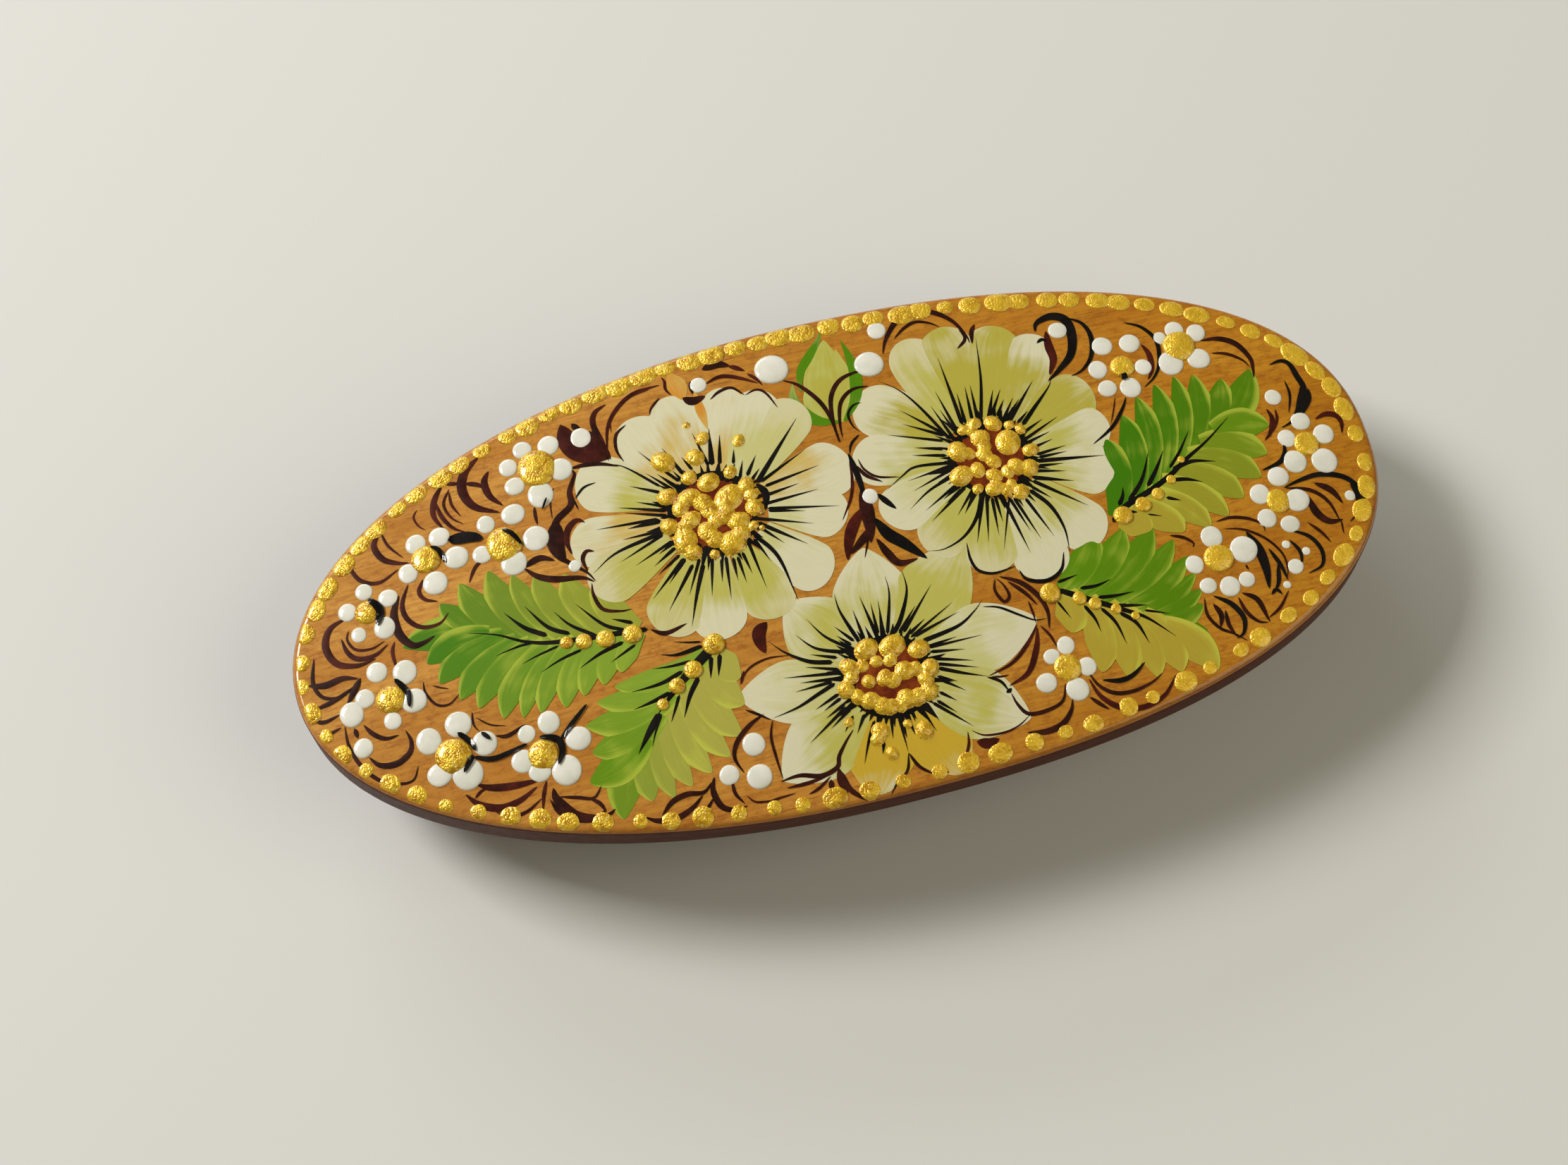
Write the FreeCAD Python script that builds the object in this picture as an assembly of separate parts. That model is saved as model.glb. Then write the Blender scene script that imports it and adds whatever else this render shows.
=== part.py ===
# Decorative hair pin: an oval wooden plate, arched along its length and crowned across it,
# on a spring barrette clip. The clip is a stamped base bar with a riveted catch, a swinging
# clasp arm and a bowed tension strip between the two.
#
# Frame, in millimetres: +X along the plate towards the catch, +Z up through the decorated
# face, origin on the surface that the clip stands on, under the middle of the plate.
import FreeCAD
import Part

import math
import os

Vec = FreeCAD.Vector
X_AXIS = Vec(1, 0, 0)
Y_AXIS = Vec(0, 1, 0)
Z_AXIS = Vec(0, 0, 1)

# Wooden plate
PLATE_LENGTH = 100.0
PLATE_WIDTH = 46.5
PLATE_EDGE_THICKNESS = 3.2
PLATE_CROWN = 1.2  # rise of the decorated face from its long edges to its middle line
PLATE_BACK_Z = 10.9  # height of the plate's back above the floor, at the middle
ARCH_RADIUS = 460.0  # of the plate's back and the base bar, along the length
FULLNESS_CATCH_END = 2.3  # superellipse exponents of the outline's two halves
FULLNESS_HINGE_END = 2.05
OUTLINE_STEPS = 10  # outline points in each quarter
TOP_ROUNDING = 0.7
BACK_ROUNDING = 0.4

# Sheet steel of the clip
SHEET = 0.6
SPRING_SHEET = 0.35
FIT_GAP = 0.05  # radial or side clearance of what moves

# Base bar
BAR_LENGTH = 80.0
BAR_WIDTH = 9.5
BAR_CORNER = 3.0
BAR_FLANGE_DEPTH = 1.3
BAR_FLANGE_END_X = 27.0

# Hinge
HINGE_X = -33.0
HINGE_Z = 2.0
EAR_RADIUS = HINGE_Z
EAR_TOP_WIDTH = 6.0
PIN_RADIUS = 0.6
PIN_HEAD_RADIUS = 1.05
PIN_HEAD_HEIGHT = 0.45
BARREL_RADIUS = 1.2
BARREL_SIDE_GAP = 0.2

# Clasp arm
ARM_WIDTH = 6.4
ARM_MIDDLE_Z = 3.8  # of the sheet's middle, halfway along
ARM_TIP_Z = 2.6
ARM_TIP_X = 37.6
ARM_FLANGE_DEPTH = 1.1
ARM_FLANGE_END_X = 25.0
ARM_NECK_X = -28.5  # where the arm narrows behind its hinge barrel
FRAME_WIDTH = 9.8  # of the catch window's frame
FRAME_START_X = 29.4
WINDOW_HALF_WIDTH = 3.0
WINDOW_X = (30.6, 35.4)

# Catch
CATCH_X = 33.0
CATCH_LENGTH = 3.6
TAB_MIDDLE_Y = 2.0
TAB_AXIS_Z = 8.6
TAB_TIP_LENGTH = 1.8
BARB_TOP_Z = 2.05
CATCH_RIVET_RADIUS = 0.6
CATCH_RIVET_HEAD = 1.15

# Tension bow
BOW_WIDTH = 5.0
BOW_HALF_LENGTH = 28.6
BOW_TOP_GAP = 0.15  # between the bow's ends and the base bar
BOW_ARM_GAP = 0.1  # between the bow's middle and the closed arm
TONGUE_WIDTH = 2.8
TONGUE_RISE = 0.85
SLOT_WIDTH = 3.3
SLOT_LENGTH = 1.2
CATCH_SLOT_LENGTH = 2.2  # longer, because the bow's end slides in it

# Mounting screws
SCREW_X = 37.0
SCREW_HOLE_RADIUS = 0.95
SCREW_CREST_RADIUS = 0.85
SCREW_ROOT_RADIUS = 0.6
SCREW_BITE = 2.7
SCREW_HEAD_RADIUS = 1.7
SCREW_HEAD_HEIGHT = 0.9
SCREW_THREAD_TURNS = 4
DRIVE_SLOT_WIDTH = 0.45
DRIVE_SLOT_DEPTH = 0.5

ARCH_CENTRE_Z = PLATE_BACK_Z - ARCH_RADIUS
BAR_INNER_RADIUS = ARCH_RADIUS - SHEET
TALL = 40.0  # more than any height here, for cutting tools


def bar_underside_z(x):
    """Height of the base bar's underside at x."""
    return ARCH_CENTRE_Z + math.sqrt(BAR_INNER_RADIUS**2 - x**2)


def face_xz(*edges):
    """A flat face in the XZ plane from edges in order."""
    return Part.Face(Part.Wire(Part.sortEdges(edges)[0]))


def polygon_xz(points, y=0.0):
    """A flat face at y from (x, z) points."""
    loop = [Vec(x, y, z) for x, z in points]
    return Part.Face(Part.makePolygon(loop + loop[:1]))


def polygon_yz(points, x=0.0):
    """A flat face at x from (y, z) points."""
    loop = [Vec(x, y, z) for y, z in points]
    return Part.Face(Part.makePolygon(loop + loop[:1]))


def block(x, y, z):
    """A box from its three (low, high) pairs."""
    size = [high - low for low, high in (x, y, z)]
    return Part.makeBox(*size, Vec(x[0], y[0], z[0]))


def arch_cylinder(radius, width=60.0):
    """The solid cylinder about the arch's axis, along Y."""
    return Part.makeCylinder(radius, width, Vec(0, -width / 2, ARCH_CENTRE_Z), Y_AXIS)


def on_arch(shape, x):
    """Carries a shape made at the middle of the arch to x along it."""
    moved = shape.copy()
    angle = math.degrees(math.asin(x / ARCH_RADIUS))
    moved.rotate(Vec(0, 0, ARCH_CENTRE_Z), Y_AXIS, angle)
    return moved


def arc_band(start, middle, end, thickness):
    """A strip's side face in the XZ plane: its middle line is the arc through three (x, z) points."""
    points = [Vec(x, 0, z) for x, z in (start, middle, end)]
    centre = Part.Arc(*points).toShape().Curve.Center
    sides = []
    for offset in (-thickness / 2, thickness / 2):
        scaled = []
        for point in points:
            spoke = point - centre
            scaled.append(centre + spoke * ((spoke.Length + offset) / spoke.Length))
        sides.append(scaled)
    inner, outer = sides
    return face_xz(
        Part.Arc(*inner).toShape(),
        Part.LineSegment(inner[2], outer[2]).toShape(),
        Part.Arc(*outer).toShape(),
        Part.LineSegment(outer[0], inner[0]).toShape(),
    )


def plate_outline():
    """The plate's plan outline: a superellipse, a little fuller at the catch end."""
    half_length, half_width = PLATE_LENGTH / 2, PLATE_WIDTH / 2
    points = []
    for step in range(4 * OUTLINE_STEPS):
        angle = step * math.pi / 2 / OUTLINE_STEPS
        cosine, sine = math.cos(angle), math.sin(angle)
        power = 2 / (FULLNESS_CATCH_END if cosine > 0 else FULLNESS_HINGE_END)
        x = math.copysign(abs(cosine) ** power, cosine) * half_length
        y = math.copysign(abs(sine) ** power, sine) * half_width
        points.append(Vec(x, y, 0))
    curve = Part.BSplineCurve()
    curve.interpolate(points, PeriodicFlag=True)
    return Part.Face(Part.Wire(curve.toShape()))


def screw_shank(radius, bite):
    """A plain shank through the bar and into the plate, at the middle of the arch."""
    base = Vec(0, 0, PLATE_BACK_Z - SHEET)
    return Part.makeCylinder(radius, SHEET + bite, base, Z_AXIS)


def wooden_plate():
    """The arched and crowned oval, with rounded edges and two pilot holes in its back."""
    reach = PLATE_WIDTH / 2 + 2.0
    top_z = PLATE_BACK_Z + PLATE_EDGE_THICKNESS + PLATE_CROWN
    drop_at_reach = PLATE_CROWN * (reach / (PLATE_WIDTH / 2)) ** 2
    crown = Part.Arc(
        Vec(0, -reach, top_z - drop_at_reach), Vec(0, 0, top_z), Vec(0, reach, top_z - drop_at_reach)
    )
    corners = [
        Vec(0, reach, top_z - drop_at_reach),
        Vec(0, reach, PLATE_BACK_Z),
        Vec(0, -reach, PLATE_BACK_Z),
        Vec(0, -reach, top_z - drop_at_reach),
    ]
    section = face_xz(crown.toShape(), *Part.makePolygon(corners).Edges)
    half_sweep = math.degrees(math.asin(PLATE_LENGTH / 2 / ARCH_RADIUS)) + 1.0
    section.rotate(Vec(0, 0, ARCH_CENTRE_Z), Y_AXIS, -half_sweep)
    slab = section.revolve(Vec(0, 0, ARCH_CENTRE_Z), Y_AXIS, 2 * half_sweep)
    plate = slab.common(plate_outline().extrude(Vec(0, 0, TALL)))
    plate = plate.Solids[0]
    rims = {"top": [], "back": []}
    for edge in plate.Edges:
        middle = edge.valueAt((edge.FirstParameter + edge.LastParameter) / 2)
        along = edge.tangentAt((edge.FirstParameter + edge.LastParameter) / 2)
        if abs(along.z) > 0.9:
            continue
        back_z = ARCH_CENTRE_Z + math.sqrt(ARCH_RADIUS**2 - middle.x**2)
        rims["back" if middle.z < back_z + PLATE_EDGE_THICKNESS / 2 else "top"].append(edge)
    plate = plate.makeFillet(TOP_ROUNDING, rims["top"])
    back = []
    for edge in plate.Edges:
        ends = [edge.valueAt(t) for t in (edge.FirstParameter, edge.LastParameter)]
        ends.append(edge.valueAt((edge.FirstParameter + edge.LastParameter) / 2))
        gaps = [math.hypot(p.x, p.z - ARCH_CENTRE_Z) - ARCH_RADIUS for p in ends]
        if max(abs(gap) for gap in gaps) < 1e-3:
            back.append(edge)
    plate = plate.makeFillet(BACK_ROUNDING, back)
    for x in (-SCREW_X, SCREW_X):
        plate = plate.cut(on_arch(screw_shank(SCREW_CREST_RADIUS, SCREW_BITE + 0.3), x))
    return plate


def hinge_ear(side):
    """One ear that the base bar folds down at the hinge, with the pin's hole."""
    inner = side * (BAR_WIDTH / 2 - SHEET)
    thickness = Vec(0, side * SHEET, 0)
    half_top = EAR_TOP_WIDTH / 2
    top_z = bar_underside_z(HINGE_X) + SHEET / 2
    tangent = math.radians(12.0)
    foot_x = EAR_RADIUS * math.cos(tangent)
    foot_z = HINGE_Z + EAR_RADIUS * math.sin(tangent)
    cheek = polygon_xz(
        [
            (HINGE_X - half_top, top_z),
            (HINGE_X - foot_x, foot_z),
            (HINGE_X, HINGE_Z),
            (HINGE_X + foot_x, foot_z),
            (HINGE_X + half_top, top_z),
        ],
        inner,
    ).extrude(thickness)
    round_end = Part.makeCylinder(EAR_RADIUS, SHEET, Vec(HINGE_X, inner, HINGE_Z), Y_AXIS * side)
    hole = Part.makeCylinder(PIN_RADIUS, SHEET, Vec(HINGE_X, inner, HINGE_Z), Y_AXIS * side)
    return cheek.fuse(round_end).cut(hole)


def base_bar():
    """The stamped bar against the plate: arched strip, side flanges, hinge ears, holes and slots."""
    half_length, half_width = BAR_LENGTH / 2, BAR_WIDTH / 2
    outline = block((-half_length, half_length), (-half_width, half_width), (0, TALL))
    corners = [edge for edge in outline.Edges if abs(edge.tangentAt(edge.FirstParameter).z) > 0.9]
    outline = outline.makeFillet(BAR_CORNER, corners)
    shell = arch_cylinder(ARCH_RADIUS).cut(arch_cylinder(BAR_INNER_RADIUS))
    bar = shell.common(outline)
    deep_shell = arch_cylinder(ARCH_RADIUS).cut(arch_cylinder(ARCH_RADIUS - BAR_FLANGE_DEPTH))
    for side in (-1, 1):
        edges = sorted((side * (half_width - SHEET), side * half_width))
        strip = block((-BAR_FLANGE_END_X, BAR_FLANGE_END_X), edges, (0, TALL))
        bar = bar.fuse(deep_shell.common(strip)).fuse(hinge_ear(side))
    for x in (-SCREW_X, SCREW_X):
        bar = bar.cut(on_arch(screw_shank(SCREW_HOLE_RADIUS, 1.0), x))
    for side, length in ((-1, SLOT_LENGTH), (1, CATCH_SLOT_LENGTH)):
        inner_end = side * (BOW_HALF_LENGTH - SPRING_SHEET)
        slot_x = sorted((inner_end, inner_end + side * length))
        bar = bar.cut(block(slot_x, (-SLOT_WIDTH / 2, SLOT_WIDTH / 2), (0, TALL)))
    rivet_hole = Part.makeCylinder(CATCH_RIVET_RADIUS, TALL, Vec(CATCH_X, 0, 0), Z_AXIS)
    return bar.cut(rivet_hole).removeSplitter()


def catch_plate():
    """The catch's web, riveted under the base bar between the two pinch tabs."""
    half_width = TAB_MIDDLE_Y - SHEET / 2 - FIT_GAP
    ends = (CATCH_X - CATCH_LENGTH / 2, CATCH_X + CATCH_LENGTH / 2)
    web = block(ends, (-half_width, half_width), (TAB_AXIS_Z - SHEET / 2, PLATE_BACK_Z))
    web = web.common(arch_cylinder(BAR_INNER_RADIUS))
    return web.cut(Part.makeCylinder(CATCH_RIVET_RADIUS, TALL, Vec(CATCH_X, 0, 0), Z_AXIS))


def pinch_tab(side):
    """One spring tab of the catch: knuckle, shank, sloped barb and flat tip."""
    inner = TAB_MIDDLE_Y - SHEET / 2
    outer = TAB_MIDDLE_Y + SHEET / 2
    barb_y = WINDOW_HALF_WIDTH - FIT_GAP
    half = CATCH_LENGTH / 2 - 0.2
    ends = (CATCH_X - half, CATCH_X + half)
    shank = block(ends, (inner, outer), (0, TAB_AXIS_Z))
    knuckle = Part.makeCylinder(SHEET / 2, 2 * half, Vec(ends[0], TAB_MIDDLE_Y, TAB_AXIS_Z), X_AXIS)
    barb = polygon_yz(
        [(inner, BARB_TOP_Z), (barb_y, BARB_TOP_Z), (barb_y, BARB_TOP_Z - 0.35), (outer, 0), (inner, 0)], ends[0]
    ).extrude(Vec(2 * half, 0, 0))
    tab = shank.fuse(knuckle).fuse(barb)
    half_tip = TAB_TIP_LENGTH / 2
    for end in (-1, 1):
        slope = [
            (CATCH_X + end * half_tip, 0),
            (CATCH_X + end * (half + 0.1), 0),
            (CATCH_X + end * (half + 0.1), BARB_TOP_Z - 0.3),
        ]
        tab = tab.cut(polygon_xz(slope).extrude(Vec(0, WINDOW_HALF_WIDTH, 0)))
    tab = tab.removeSplitter()
    return tab if side > 0 else tab.mirror(Vec(0, 0, 0), Y_AXIS)


def catch_rivet():
    """The rivet that holds the catch: a low round head under the web and a shank flush with the bar."""
    head_z = TAB_AXIS_Z - SHEET / 2
    top_z = ARCH_CENTRE_Z + math.sqrt(ARCH_RADIUS**2 - (CATCH_X + CATCH_RIVET_RADIUS) ** 2)
    shank = Part.makeCylinder(CATCH_RIVET_RADIUS, top_z - head_z, Vec(CATCH_X, 0, head_z), Z_AXIS)
    head = Part.makeCylinder(CATCH_RIVET_HEAD, 0.5, Vec(CATCH_X, 0, head_z - 0.5), Z_AXIS)
    rim = [e for e in head.Edges if e.BoundBox.ZMax < head_z - 0.4 and e.BoundBox.XLength > 1.0]
    return head.makeFillet(0.35, rim).fuse(shank).removeSplitter()


def hinge_pin():
    """The riveted pin that the clasp arm turns on."""
    reach = BAR_WIDTH / 2
    pin = Part.makeCylinder(PIN_RADIUS, 2 * reach, Vec(HINGE_X, -reach, HINGE_Z), Y_AXIS)
    for side in (-1, 1):
        start = Vec(HINGE_X, side * reach, HINGE_Z)
        head = Part.makeCylinder(PIN_HEAD_RADIUS, PIN_HEAD_HEIGHT, start, Y_AXIS * side)
        far = side * (reach + PIN_HEAD_HEIGHT)
        rim = [e for e in head.Edges if abs(e.BoundBox.Center.y - far) < 1e-3 and e.BoundBox.XLength > 1.0]
        pin = pin.fuse(head.makeFillet(0.3, rim))
    return pin.removeSplitter()


def clasp_arm():
    """The swinging arm: rolled hinge barrel, arched channel strip and windowed end frame."""
    start = (HINGE_X, HINGE_Z + BARREL_RADIUS - SHEET / 2)
    middle = (0.0, ARM_MIDDLE_Z)
    end = (ARM_TIP_X, ARM_TIP_Z)
    band = arc_band(start, middle, end, SHEET)
    barrel_half = BAR_WIDTH / 2 - SHEET - BARREL_SIDE_GAP
    half = ARM_WIDTH / 2
    frame_half = FRAME_WIDTH / 2
    shoulder = FRAME_WIDTH / 2 - half
    plan = Part.makePolygon(
        [
            Vec(HINGE_X, -barrel_half, 0),
            Vec(ARM_NECK_X, -barrel_half, 0),
            Vec(ARM_NECK_X + 2.0, -half, 0),
            Vec(FRAME_START_X - shoulder, -half, 0),
            Vec(FRAME_START_X, -frame_half, 0),
            Vec(ARM_TIP_X - 1.5, -frame_half, 0),
            Vec(ARM_TIP_X, -frame_half + 1.5, 0),
            Vec(ARM_TIP_X, frame_half - 1.5, 0),
            Vec(ARM_TIP_X - 1.5, frame_half, 0),
            Vec(FRAME_START_X, frame_half, 0),
            Vec(FRAME_START_X - shoulder, half, 0),
            Vec(ARM_NECK_X + 2.0, half, 0),
            Vec(ARM_NECK_X, barrel_half, 0),
            Vec(HINGE_X, barrel_half, 0),
            Vec(HINGE_X, -barrel_half, 0),
        ]
    )
    plan = Part.Face(plan).extrude(Vec(0, 0, TALL))
    strip = band.extrude(Vec(0, FRAME_WIDTH, 0))
    strip.translate(Vec(0, -frame_half, 0))
    arm = strip.common(plan)
    window = block(WINDOW_X, (-WINDOW_HALF_WIDTH, WINDOW_HALF_WIDTH), (0, TALL))
    arm = arm.cut(window)
    drop = (SHEET - ARM_FLANGE_DEPTH) / 2
    deep = arc_band(*[(x, z + drop) for x, z in (start, middle, end)], ARM_FLANGE_DEPTH)
    for side in (-1, 1):
        edges = sorted((side * (half - SHEET), side * half))
        flange = deep.extrude(Vec(0, SHEET, 0))
        flange.translate(Vec(0, edges[0], 0))
        limits = block((-ARM_FLANGE_END_X, ARM_FLANGE_END_X), edges, (0, TALL))
        arm = arm.fuse(flange.common(limits))
    axis_start = Vec(HINGE_X, -barrel_half, HINGE_Z)
    arm = arm.fuse(Part.makeCylinder(BARREL_RADIUS, 2 * barrel_half, axis_start, Y_AXIS))
    arm = arm.cut(Part.makeCylinder(PIN_RADIUS + FIT_GAP, 2 * barrel_half, axis_start, Y_AXIS))
    return arm.removeSplitter()


def tension_bow():
    """The bowed spring strip, with a tongue at each end that sits in the base bar's slot."""
    end_z = bar_underside_z(BOW_HALF_LENGTH) - BOW_TOP_GAP - SPRING_SHEET / 2
    middle_z = ARM_MIDDLE_Z + SHEET / 2 + BOW_ARM_GAP + SPRING_SHEET / 2
    start, end = (-BOW_HALF_LENGTH, end_z), (BOW_HALF_LENGTH, end_z)
    bow = arc_band(start, (0.0, middle_z), end, SPRING_SHEET).extrude(Vec(0, BOW_WIDTH, 0))
    bow.translate(Vec(0, -BOW_WIDTH / 2, 0))
    for side in (-1, 1):
        ends = sorted((side * (BOW_HALF_LENGTH - SPRING_SHEET), side * BOW_HALF_LENGTH))
        tongue = block(ends, (-TONGUE_WIDTH / 2, TONGUE_WIDTH / 2), (end_z, end_z + TONGUE_RISE))
        bow = bow.fuse(tongue)
    return bow.removeSplitter()


def screw():
    """One slotted pan-head wood screw, made at the middle of the arch with its head down."""
    seat_z = PLATE_BACK_Z - SHEET
    tip_z = PLATE_BACK_Z + SCREW_BITE
    thread_start_z = PLATE_BACK_Z + 0.2
    pitch = (tip_z - 0.7 - thread_start_z) / SCREW_THREAD_TURNS
    profile = [(0, seat_z), (SCREW_ROOT_RADIUS, seat_z), (SCREW_ROOT_RADIUS, thread_start_z)]
    for turn in range(SCREW_THREAD_TURNS):
        foot = thread_start_z + turn * pitch
        profile.append((SCREW_CREST_RADIUS, foot + pitch / 2))
        profile.append((SCREW_ROOT_RADIUS, foot + pitch))
    profile.append((0, tip_z))
    shank = polygon_xz(profile).revolve(Vec(0, 0, 0), Z_AXIS, 360)
    head = Part.makeCylinder(SCREW_HEAD_RADIUS, SCREW_HEAD_HEIGHT, Vec(0, 0, seat_z), Z_AXIS * -1)
    rim = [e for e in head.Edges if e.BoundBox.ZMax < seat_z - SCREW_HEAD_HEIGHT / 2 and e.BoundBox.XLength > 1]
    head = head.makeFillet(0.35, rim)
    slot_z = seat_z - SCREW_HEAD_HEIGHT
    half_slot = DRIVE_SLOT_WIDTH / 2
    slot = block((-2, 2), (-half_slot, half_slot), (slot_z - 0.1, slot_z + DRIVE_SLOT_DEPTH))
    return head.cut(slot).fuse(shank).removeSplitter()


def mounting_screws():
    """Both screws, one at each end of the base bar, as separate solids."""
    return Part.makeCompound([on_arch(screw(), x) for x in (-SCREW_X, SCREW_X)])


NODES = {
    "wooden_plate": wooden_plate,
    "base_bar": base_bar,
    "catch_plate": catch_plate,
    "catch_rivet": catch_rivet,
    "pinch_tab_front": lambda: pinch_tab(-1),
    "pinch_tab_back": lambda: pinch_tab(1),
    "hinge_pin": hinge_pin,
    "clasp_arm": clasp_arm,
    "tension_bow": tension_bow,
    "mounting_screws": mounting_screws,
}


def main():
    os.makedirs("parts", exist_ok=True)
    for name, make in NODES.items():
        shape = make()
        solids = shape.Solids
        if not solids or not all(s.isValid() and s.Volume > 0 for s in solids):
            raise RuntimeError(f"{name} isn't made of valid solids")
        box = shape.optimalBoundingBox(False)
        print(
            f"{name}: {len(solids)} solids, {shape.Volume:.1f} mm3, "
            f"x {box.XMin:.2f} {box.XMax:.2f}, y {box.YMin:.2f} {box.YMax:.2f}, z {box.ZMin:.2f} {box.ZMax:.2f}"
        )
        shape = solids[0] if len(solids) == 1 else Part.makeCompound(solids)
        shape.exportStep(f"parts/{name}.step")


main()
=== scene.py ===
"""Looks of the painted wooden barrette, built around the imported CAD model.

The plate gets a finer mesh of the same shape, stained and grained, under clear lacquer. Its painting is
laid on as thin brush strokes that follow the arched surface, with raised dots of gold and white paint.
Sizes and places on the plate are in millimetres, x along the plate and y across it, and turn into metres
when a mesh is made.
"""
import math
import random

import bpy
import numpy as np
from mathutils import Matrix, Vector


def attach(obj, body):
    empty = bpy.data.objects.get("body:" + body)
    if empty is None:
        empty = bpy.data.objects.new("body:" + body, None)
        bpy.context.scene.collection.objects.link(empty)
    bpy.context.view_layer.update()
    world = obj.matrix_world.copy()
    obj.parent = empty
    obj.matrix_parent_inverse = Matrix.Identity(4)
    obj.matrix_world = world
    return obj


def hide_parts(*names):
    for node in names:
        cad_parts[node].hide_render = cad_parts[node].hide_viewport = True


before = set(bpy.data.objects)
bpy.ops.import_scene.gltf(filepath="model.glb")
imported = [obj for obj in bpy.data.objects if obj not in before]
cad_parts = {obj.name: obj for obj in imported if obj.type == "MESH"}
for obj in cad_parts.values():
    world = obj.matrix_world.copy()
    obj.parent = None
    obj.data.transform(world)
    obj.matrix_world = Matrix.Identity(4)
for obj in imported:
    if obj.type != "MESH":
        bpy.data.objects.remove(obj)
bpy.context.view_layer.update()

MM = 0.001
BASE = "plate_and_base"
RNG = random.Random(7)
DROPS = []

# The plate, as the CAD makes it
HALF_LENGTH = 50.0
HALF_WIDTH = 23.25
EDGE_THICKNESS = 3.2
CROWN = 1.2
BACK_Z = 10.9
ARCH_RADIUS = 460.0
FULL_RIGHT = 2.3
FULL_LEFT = 2.05
TOP_ROUNDING = 0.7
BACK_ROUNDING = 0.4

# How finely the plate's mesh is divided
EDGE_POINTS = 420
FACE_ROWS = 56
TOP_ROUNDING_ROWS = 8
SIDE_ROWS = 5
BACK_ROUNDING_ROWS = 5
BACK_ROWS = 30
SMALLEST_RING = 0.015

# A face of the plate's mesh whose normal has less z than this gets the darker wood of its side and back,
# whose dark tint is partly stain and partly painted shade
SIDE_SLOPE = 0.35

# The gold dots of the border
BORDER_DOTS = 92
BORDER_STEPS = 3000
BORDER_CROWDING = 0.022

# Paint: how far out it may come towards the outline, and how finely its meshes are divided
PAINT_REACH = 0.992
PATH_STEP = 0.22
DAB_ROWS = 30
DAB_COLUMNS = 13
LINE_COLUMNS = 5
OUTLINE_STEPS = 6000
HEAP_STEP = 0.13
HEAP_MARGIN = 1.8

# Relief of the paint: the crowns of dabs and lines, the uneven edge and surface of a drop, and how deep
# the skirt of a drop or a heap goes into the paint below it
DAB_CROWN = 0.006
LINE_CROWN = 0.04
EDGE_WOBBLE = 0.035
ROUGH_WAVES = 7
ROUGH_PITCH = 5
DROP_SINK = 0.01
HEAP_SINK = 0.11

# Heights of the paint above the plate's face
PETAL_LIFT = 0.014
LEAF_LIFT = 0.016
CURL_LIFT = 0.050
LINE_LIFT = 0.060
HEART_LIFT = 0.04
BEAD_LIFT = 0.05
HEAP_LIFT = 0.12
BERRY_STROKE_LIFT = 0.14
LAYER_STEP = 0.002

# The kind of a mesh attribute and the name of its data, by how many numbers a point has
ATTRIBUTE_KINDS = {1: ("FLOAT", "value"), 3: ("FLOAT_VECTOR", "vector"), 4: ("FLOAT_COLOR", "color")}


def srgb(red, green, blue):
    """Linear colour of an 8-bit sRGB one."""
    out = []
    for value in (red, green, blue):
        value /= 255
        out.append(value / 12.92 if value <= 0.04045 else ((value + 0.055) / 1.055) ** 2.4)
    return tuple(out)


# ------------------------------------------------------------------ the plate's surface


def fullness(x):
    """The power of the outline's curve: the right end is squarer than the left one."""
    return np.where(x > 0, FULL_RIGHT, FULL_LEFT)


def rim_ratio(x, y):
    """0 at the plate's middle and 1 at its outline."""
    n = fullness(x)
    return ((np.abs(x) / HALF_LENGTH) ** n + (np.abs(y) / HALF_WIDTH) ** n) ** (1 / n)


def face_z(x, y):
    """Height of the arched and crowned face, before its edge is rounded."""
    radius = ARCH_RADIUS + EDGE_THICKNESS + CROWN * (1 - (y / HALF_WIDTH) ** 2)
    return BACK_Z - ARCH_RADIUS + np.sqrt(radius**2 - x**2)


def back_z(x):
    """Height of the arched back."""
    return BACK_Z - ARCH_RADIUS + np.sqrt(ARCH_RADIUS**2 - x**2)


def rim_gap(x, y):
    """Distance in from the outline, near it."""
    step = 0.05
    here = rim_ratio(x, y)
    slope_x = (rim_ratio(x + step, y) - rim_ratio(x - step, y)) / (2 * step)
    slope_y = (rim_ratio(x, y + step) - rim_ratio(x, y - step)) / (2 * step)
    return (1 - here) / np.maximum(np.hypot(slope_x, slope_y), 1e-4)


def on_face(x, y, lift):
    """Points on the face, kept inside the outline and following its rounded edge."""
    ratio = rim_ratio(x, y)
    inside = np.minimum(1.0, PAINT_REACH / np.maximum(ratio, 1e-6))
    x, y = x * inside, y * inside
    into = np.clip(TOP_ROUNDING - rim_gap(x, y), 0, TOP_ROUNDING)
    drop = TOP_ROUNDING - np.sqrt(TOP_ROUNDING**2 - into**2)
    return np.stack([x, y, face_z(x, y) - drop + lift], -1)


# ------------------------------------------------------------------ meshes


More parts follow.
